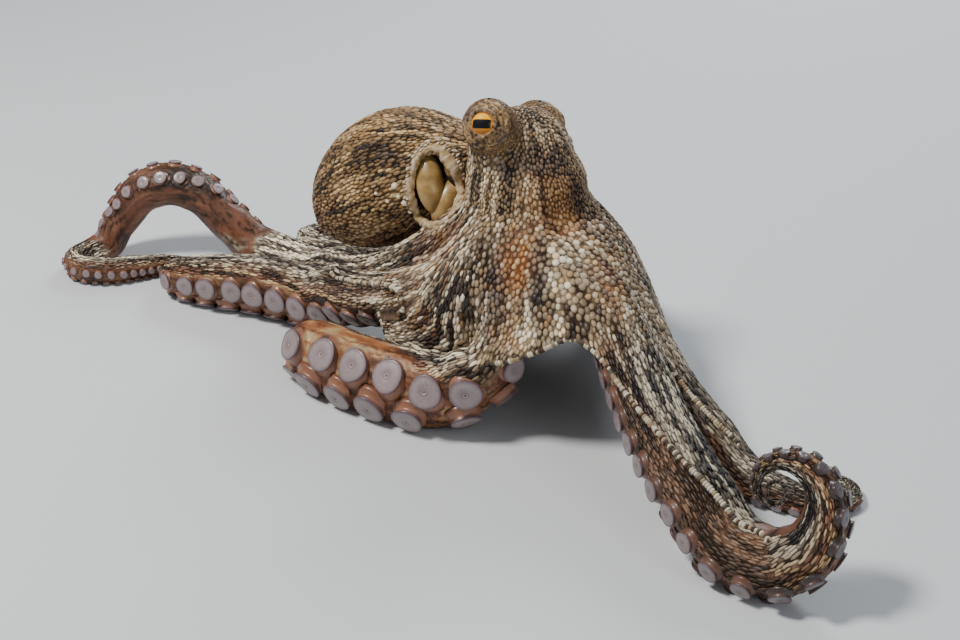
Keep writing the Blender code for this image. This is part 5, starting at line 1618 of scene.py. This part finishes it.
def eye_material():
    """A gold iris, browner at its foot, with an orange ring, a dark edge and a wide black bar across it."""
    material, tree, shader = principled("gold eye")
    x = node(tree, "ShaderNodeAttribute", attribute_name="iris_x").outputs["Fac"]
    y = node(tree, "ShaderNodeAttribute", attribute_name="iris_y").outputs["Fac"]
    out = math_node(tree, "SQRT", math_node(tree, "ADD", math_node(tree, "MULTIPLY", x, x),
                                            math_node(tree, "MULTIPLY", y, y)))
    gold = ramp(tree, math_node(tree, "ADD", math_node(tree, "MULTIPLY", y, 0.5), 0.5, True),
                (0.08, tint(120, 90, 48)), (0.24, tint(170, 116, 34)), (0.34, tint(226, 146, 14)),
                (0.60, tint(250, 178, 22)), (0.95, tint(252, 196, 52)))
    where = tree.nodes.new("ShaderNodeTexCoord")
    flecks = node(tree, "ShaderNodeTexNoise", Scale=1400.0, Detail=2.0)
    tree.links.new(where.outputs["Object"], flecks.inputs["Vector"])
    gold = mix_node(tree, math_node(tree, "MULTIPLY", flecks.outputs["Fac"], 0.22), gold, tint(220, 120, 10))
    ring = ramp(tree, math_node(tree, "MULTIPLY", out, 0.5), (0.435, (0, 0, 0)), (0.46, (1, 1, 1)),
                (0.49, (1, 1, 1)), (0.52, (0, 0, 0)))
    gold = mix_node(tree, ring, gold, tint(206, 118, 12))
    rim = ramp(tree, math_node(tree, "MULTIPLY", out, 0.5), (0.50, (0, 0, 0)), (0.53, (1, 1, 1)))
    gold = mix_node(tree, rim, gold, tint(70, 50, 34))
    tilted = math_node(tree, "ADD", y, math_node(tree, "MULTIPLY", x, 0.10))
    wide = math_node(tree, "POWER", math_node(tree, "DIVIDE", math_node(tree, "ABSOLUTE", x), 0.86), 7.0)
    tall = math_node(tree, "POWER", math_node(tree, "DIVIDE", math_node(tree, "ABSOLUTE",
                     math_node(tree, "ADD", tilted, 0.04)), 0.42), 7.0)
    bar = ramp(tree, math_node(tree, "ADD", wide, tall, True), (0.70, (1, 1, 1)), (0.98, (0, 0, 0)))
    colour = mix_node(tree, bar, gold, tint(10, 14, 16))
    tree.links.new(colour, shader.inputs["Base Color"])
    shader.inputs["Roughness"].default_value = 0.55
    shader.inputs["Specular IOR Level"].default_value = 0.15
    shader.inputs["Coat Weight"].default_value = 0.22
    shader.inputs["Coat Roughness"].default_value = 0.05
    return material


# ---------------------------------------------------------------- the whole model
def dress(obj, material, nodes=()):
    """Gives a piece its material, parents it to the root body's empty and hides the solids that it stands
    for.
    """
    obj.data.materials.clear()
    obj.data.materials.append(material)
    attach(obj, "root")
    if nodes:
        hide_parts(*nodes)


def paint_skin(skin):
    """Colours the thinned skin, darker between the pebbles as painted shade, marks where it bears no pebbles,
    lowers it under them and places it.
    """
    points, normals, _ = arrays_of(skin.data)
    field = survey(points, normals)
    # Painted shade: the skin seen in the gaps between the pebbles is darkened.
    lift = np.where(field["under"] > UNDER_LIMIT, 0.0, -0.30)
    set_colour(skin.data, "tint", skin_colour(points, field, lift))
    set_value(skin.data, "bare", rises(field["under"], 0.25, 0.25))
    points = points - normals * (SKIN_DROP * (field["under"] < UNDER_LIMIT))[:, None]
    skin.data.vertices.foreach_set("co", (points + PLACE).astype(np.float32).ravel())
    skin.data.polygons.foreach_set("use_smooth", np.ones(len(skin.data.polygons), bool))
    skin.data.update()


def build_octopus():
    """Every piece, with its material and the nodes that it stands for."""
    grain_group = wet_grain_group()
    skin, points, normals, field = build_skin()
    skin.name = "skin"
    under_skin = tinted_skin(UNDER_SKIN, grain_group, 0.0011, 0.55, 0.34, 0.6, 0.0005, 0.15)
    pebble_skin = tinted_skin("pebbled skin", grain_group, 0.0007, 0.35, 0.38, 0.3, 0.0002, 0.10)
    paint_skin(skin)
    flesh = [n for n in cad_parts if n.startswith(("arm_", "web_")) or n in ("head", "mantle")]
    dress(skin, under_skin, flesh)
    for obj in build_pebbles(points, normals, field):
        dress(obj, pebble_skin)
    dress(build_warts(points, normals, field), pebble_skin)
    dress(build_margins(points, normals), pebble_skin)
    dress(build_pocket_rim(points), pebble_skin)
    suckers = sucker_material(grain_group)
    for obj in build_suckers():
        dress(obj, suckers)
    gold = eye_material()
    lid_skin = tinted_skin("wrinkled skin of the lids", grain_group, 0.0006, 0.45, 0.36, 0.5, 0.0003, 0.15)
    for name, mound, centre, look in EYES:
        dress(build_eye(name, centre, look), gold, [name])
        dress(build_lids(name, mound, centre, look), lid_skin)
    lobes = lobe_material(grain_group)
    for obj, name in zip(build_lobes(), ("collar_lobe", "funnel")):
        dress(obj, lobes, [name])


# ---------------------------------------------------------------- stage
CAMERA_RISE = math.radians(27)
CAMERA_FAR = 1.10
CAMERA_LENS = 62.0
CAMERA_AIM = np.array((0.0, 0.0, 0.075))
FLOOR_HALF = 3.0
DAYLIGHT = 0.28
# Each lamp's name, place, diameter, watts and colour.
LAMPS = [("key light", (-0.95, -0.30, 1.75), 0.45, 46, (1.0, 0.97, 0.92)),
         ("fill light", (1.2, -1.6, 0.9), 1.2, 9, (0.92, 0.96, 1.0)),
         ("rim light", (0.7, 1.5, 1.2), 0.8, 22, (0.95, 0.98, 1.0))]


def area_light(name, place, aim, size, watts, colour):
    lamp = bpy.data.lights.new(name, "AREA")
    lamp.shape, lamp.size, lamp.energy, lamp.color = "DISK", size, watts, colour
    obj = bpy.data.objects.new(name, lamp)
    obj.location = place
    obj.rotation_mode = "QUATERNION"
    obj.rotation_quaternion = (Vector(aim) - Vector(place)).to_track_quat("-Z", "Y")
    bpy.context.scene.collection.objects.link(obj)


def build_stage():
    """A wide pale floor, soft daylight and three round lamps, and the camera."""
    r = FLOOR_HALF
    floor = mesh_object("studio floor", np.array(((-r, -r, 0), (r, -r, 0), (r, r, 0), (-r, r, 0))),
                        np.array([(0, 1, 2, 3)]))
    material, _, shader = principled("pale floor")
    shader.inputs["Base Color"].default_value = (0.62, 0.64, 0.66, 1)
    shader.inputs["Roughness"].default_value = 0.85
    floor.data.materials.append(material)
    world = bpy.data.worlds.new("studio")
    bpy.context.scene.world = world
    world.use_nodes = True
    sky = world.node_tree.nodes["Background"]
    sky.inputs["Color"].default_value = (0.80, 0.86, 0.92, 1)
    sky.inputs["Strength"].default_value = DAYLIGHT
    middle = tuple(PLACE + CAMERA_AIM)
    for name, place, size, watts, colour in LAMPS:
        area_light(name, place, middle, size, watts, colour)
    camera = bpy.data.objects.new("camera", bpy.data.cameras.new("camera"))
    back = np.array((0, -math.cos(CAMERA_RISE), math.sin(CAMERA_RISE)))
    camera.location = PLACE + CAMERA_AIM + CAMERA_FAR * back
    camera.rotation_mode = "QUATERNION"
    camera.rotation_quaternion = Vector(-back).to_track_quat("-Z", "Y")
    camera.data.lens = CAMERA_LENS
    camera.data.sensor_width = 36.0
    bpy.context.scene.collection.objects.link(camera)
    bpy.context.scene.camera = camera


build_octopus()
build_stage()
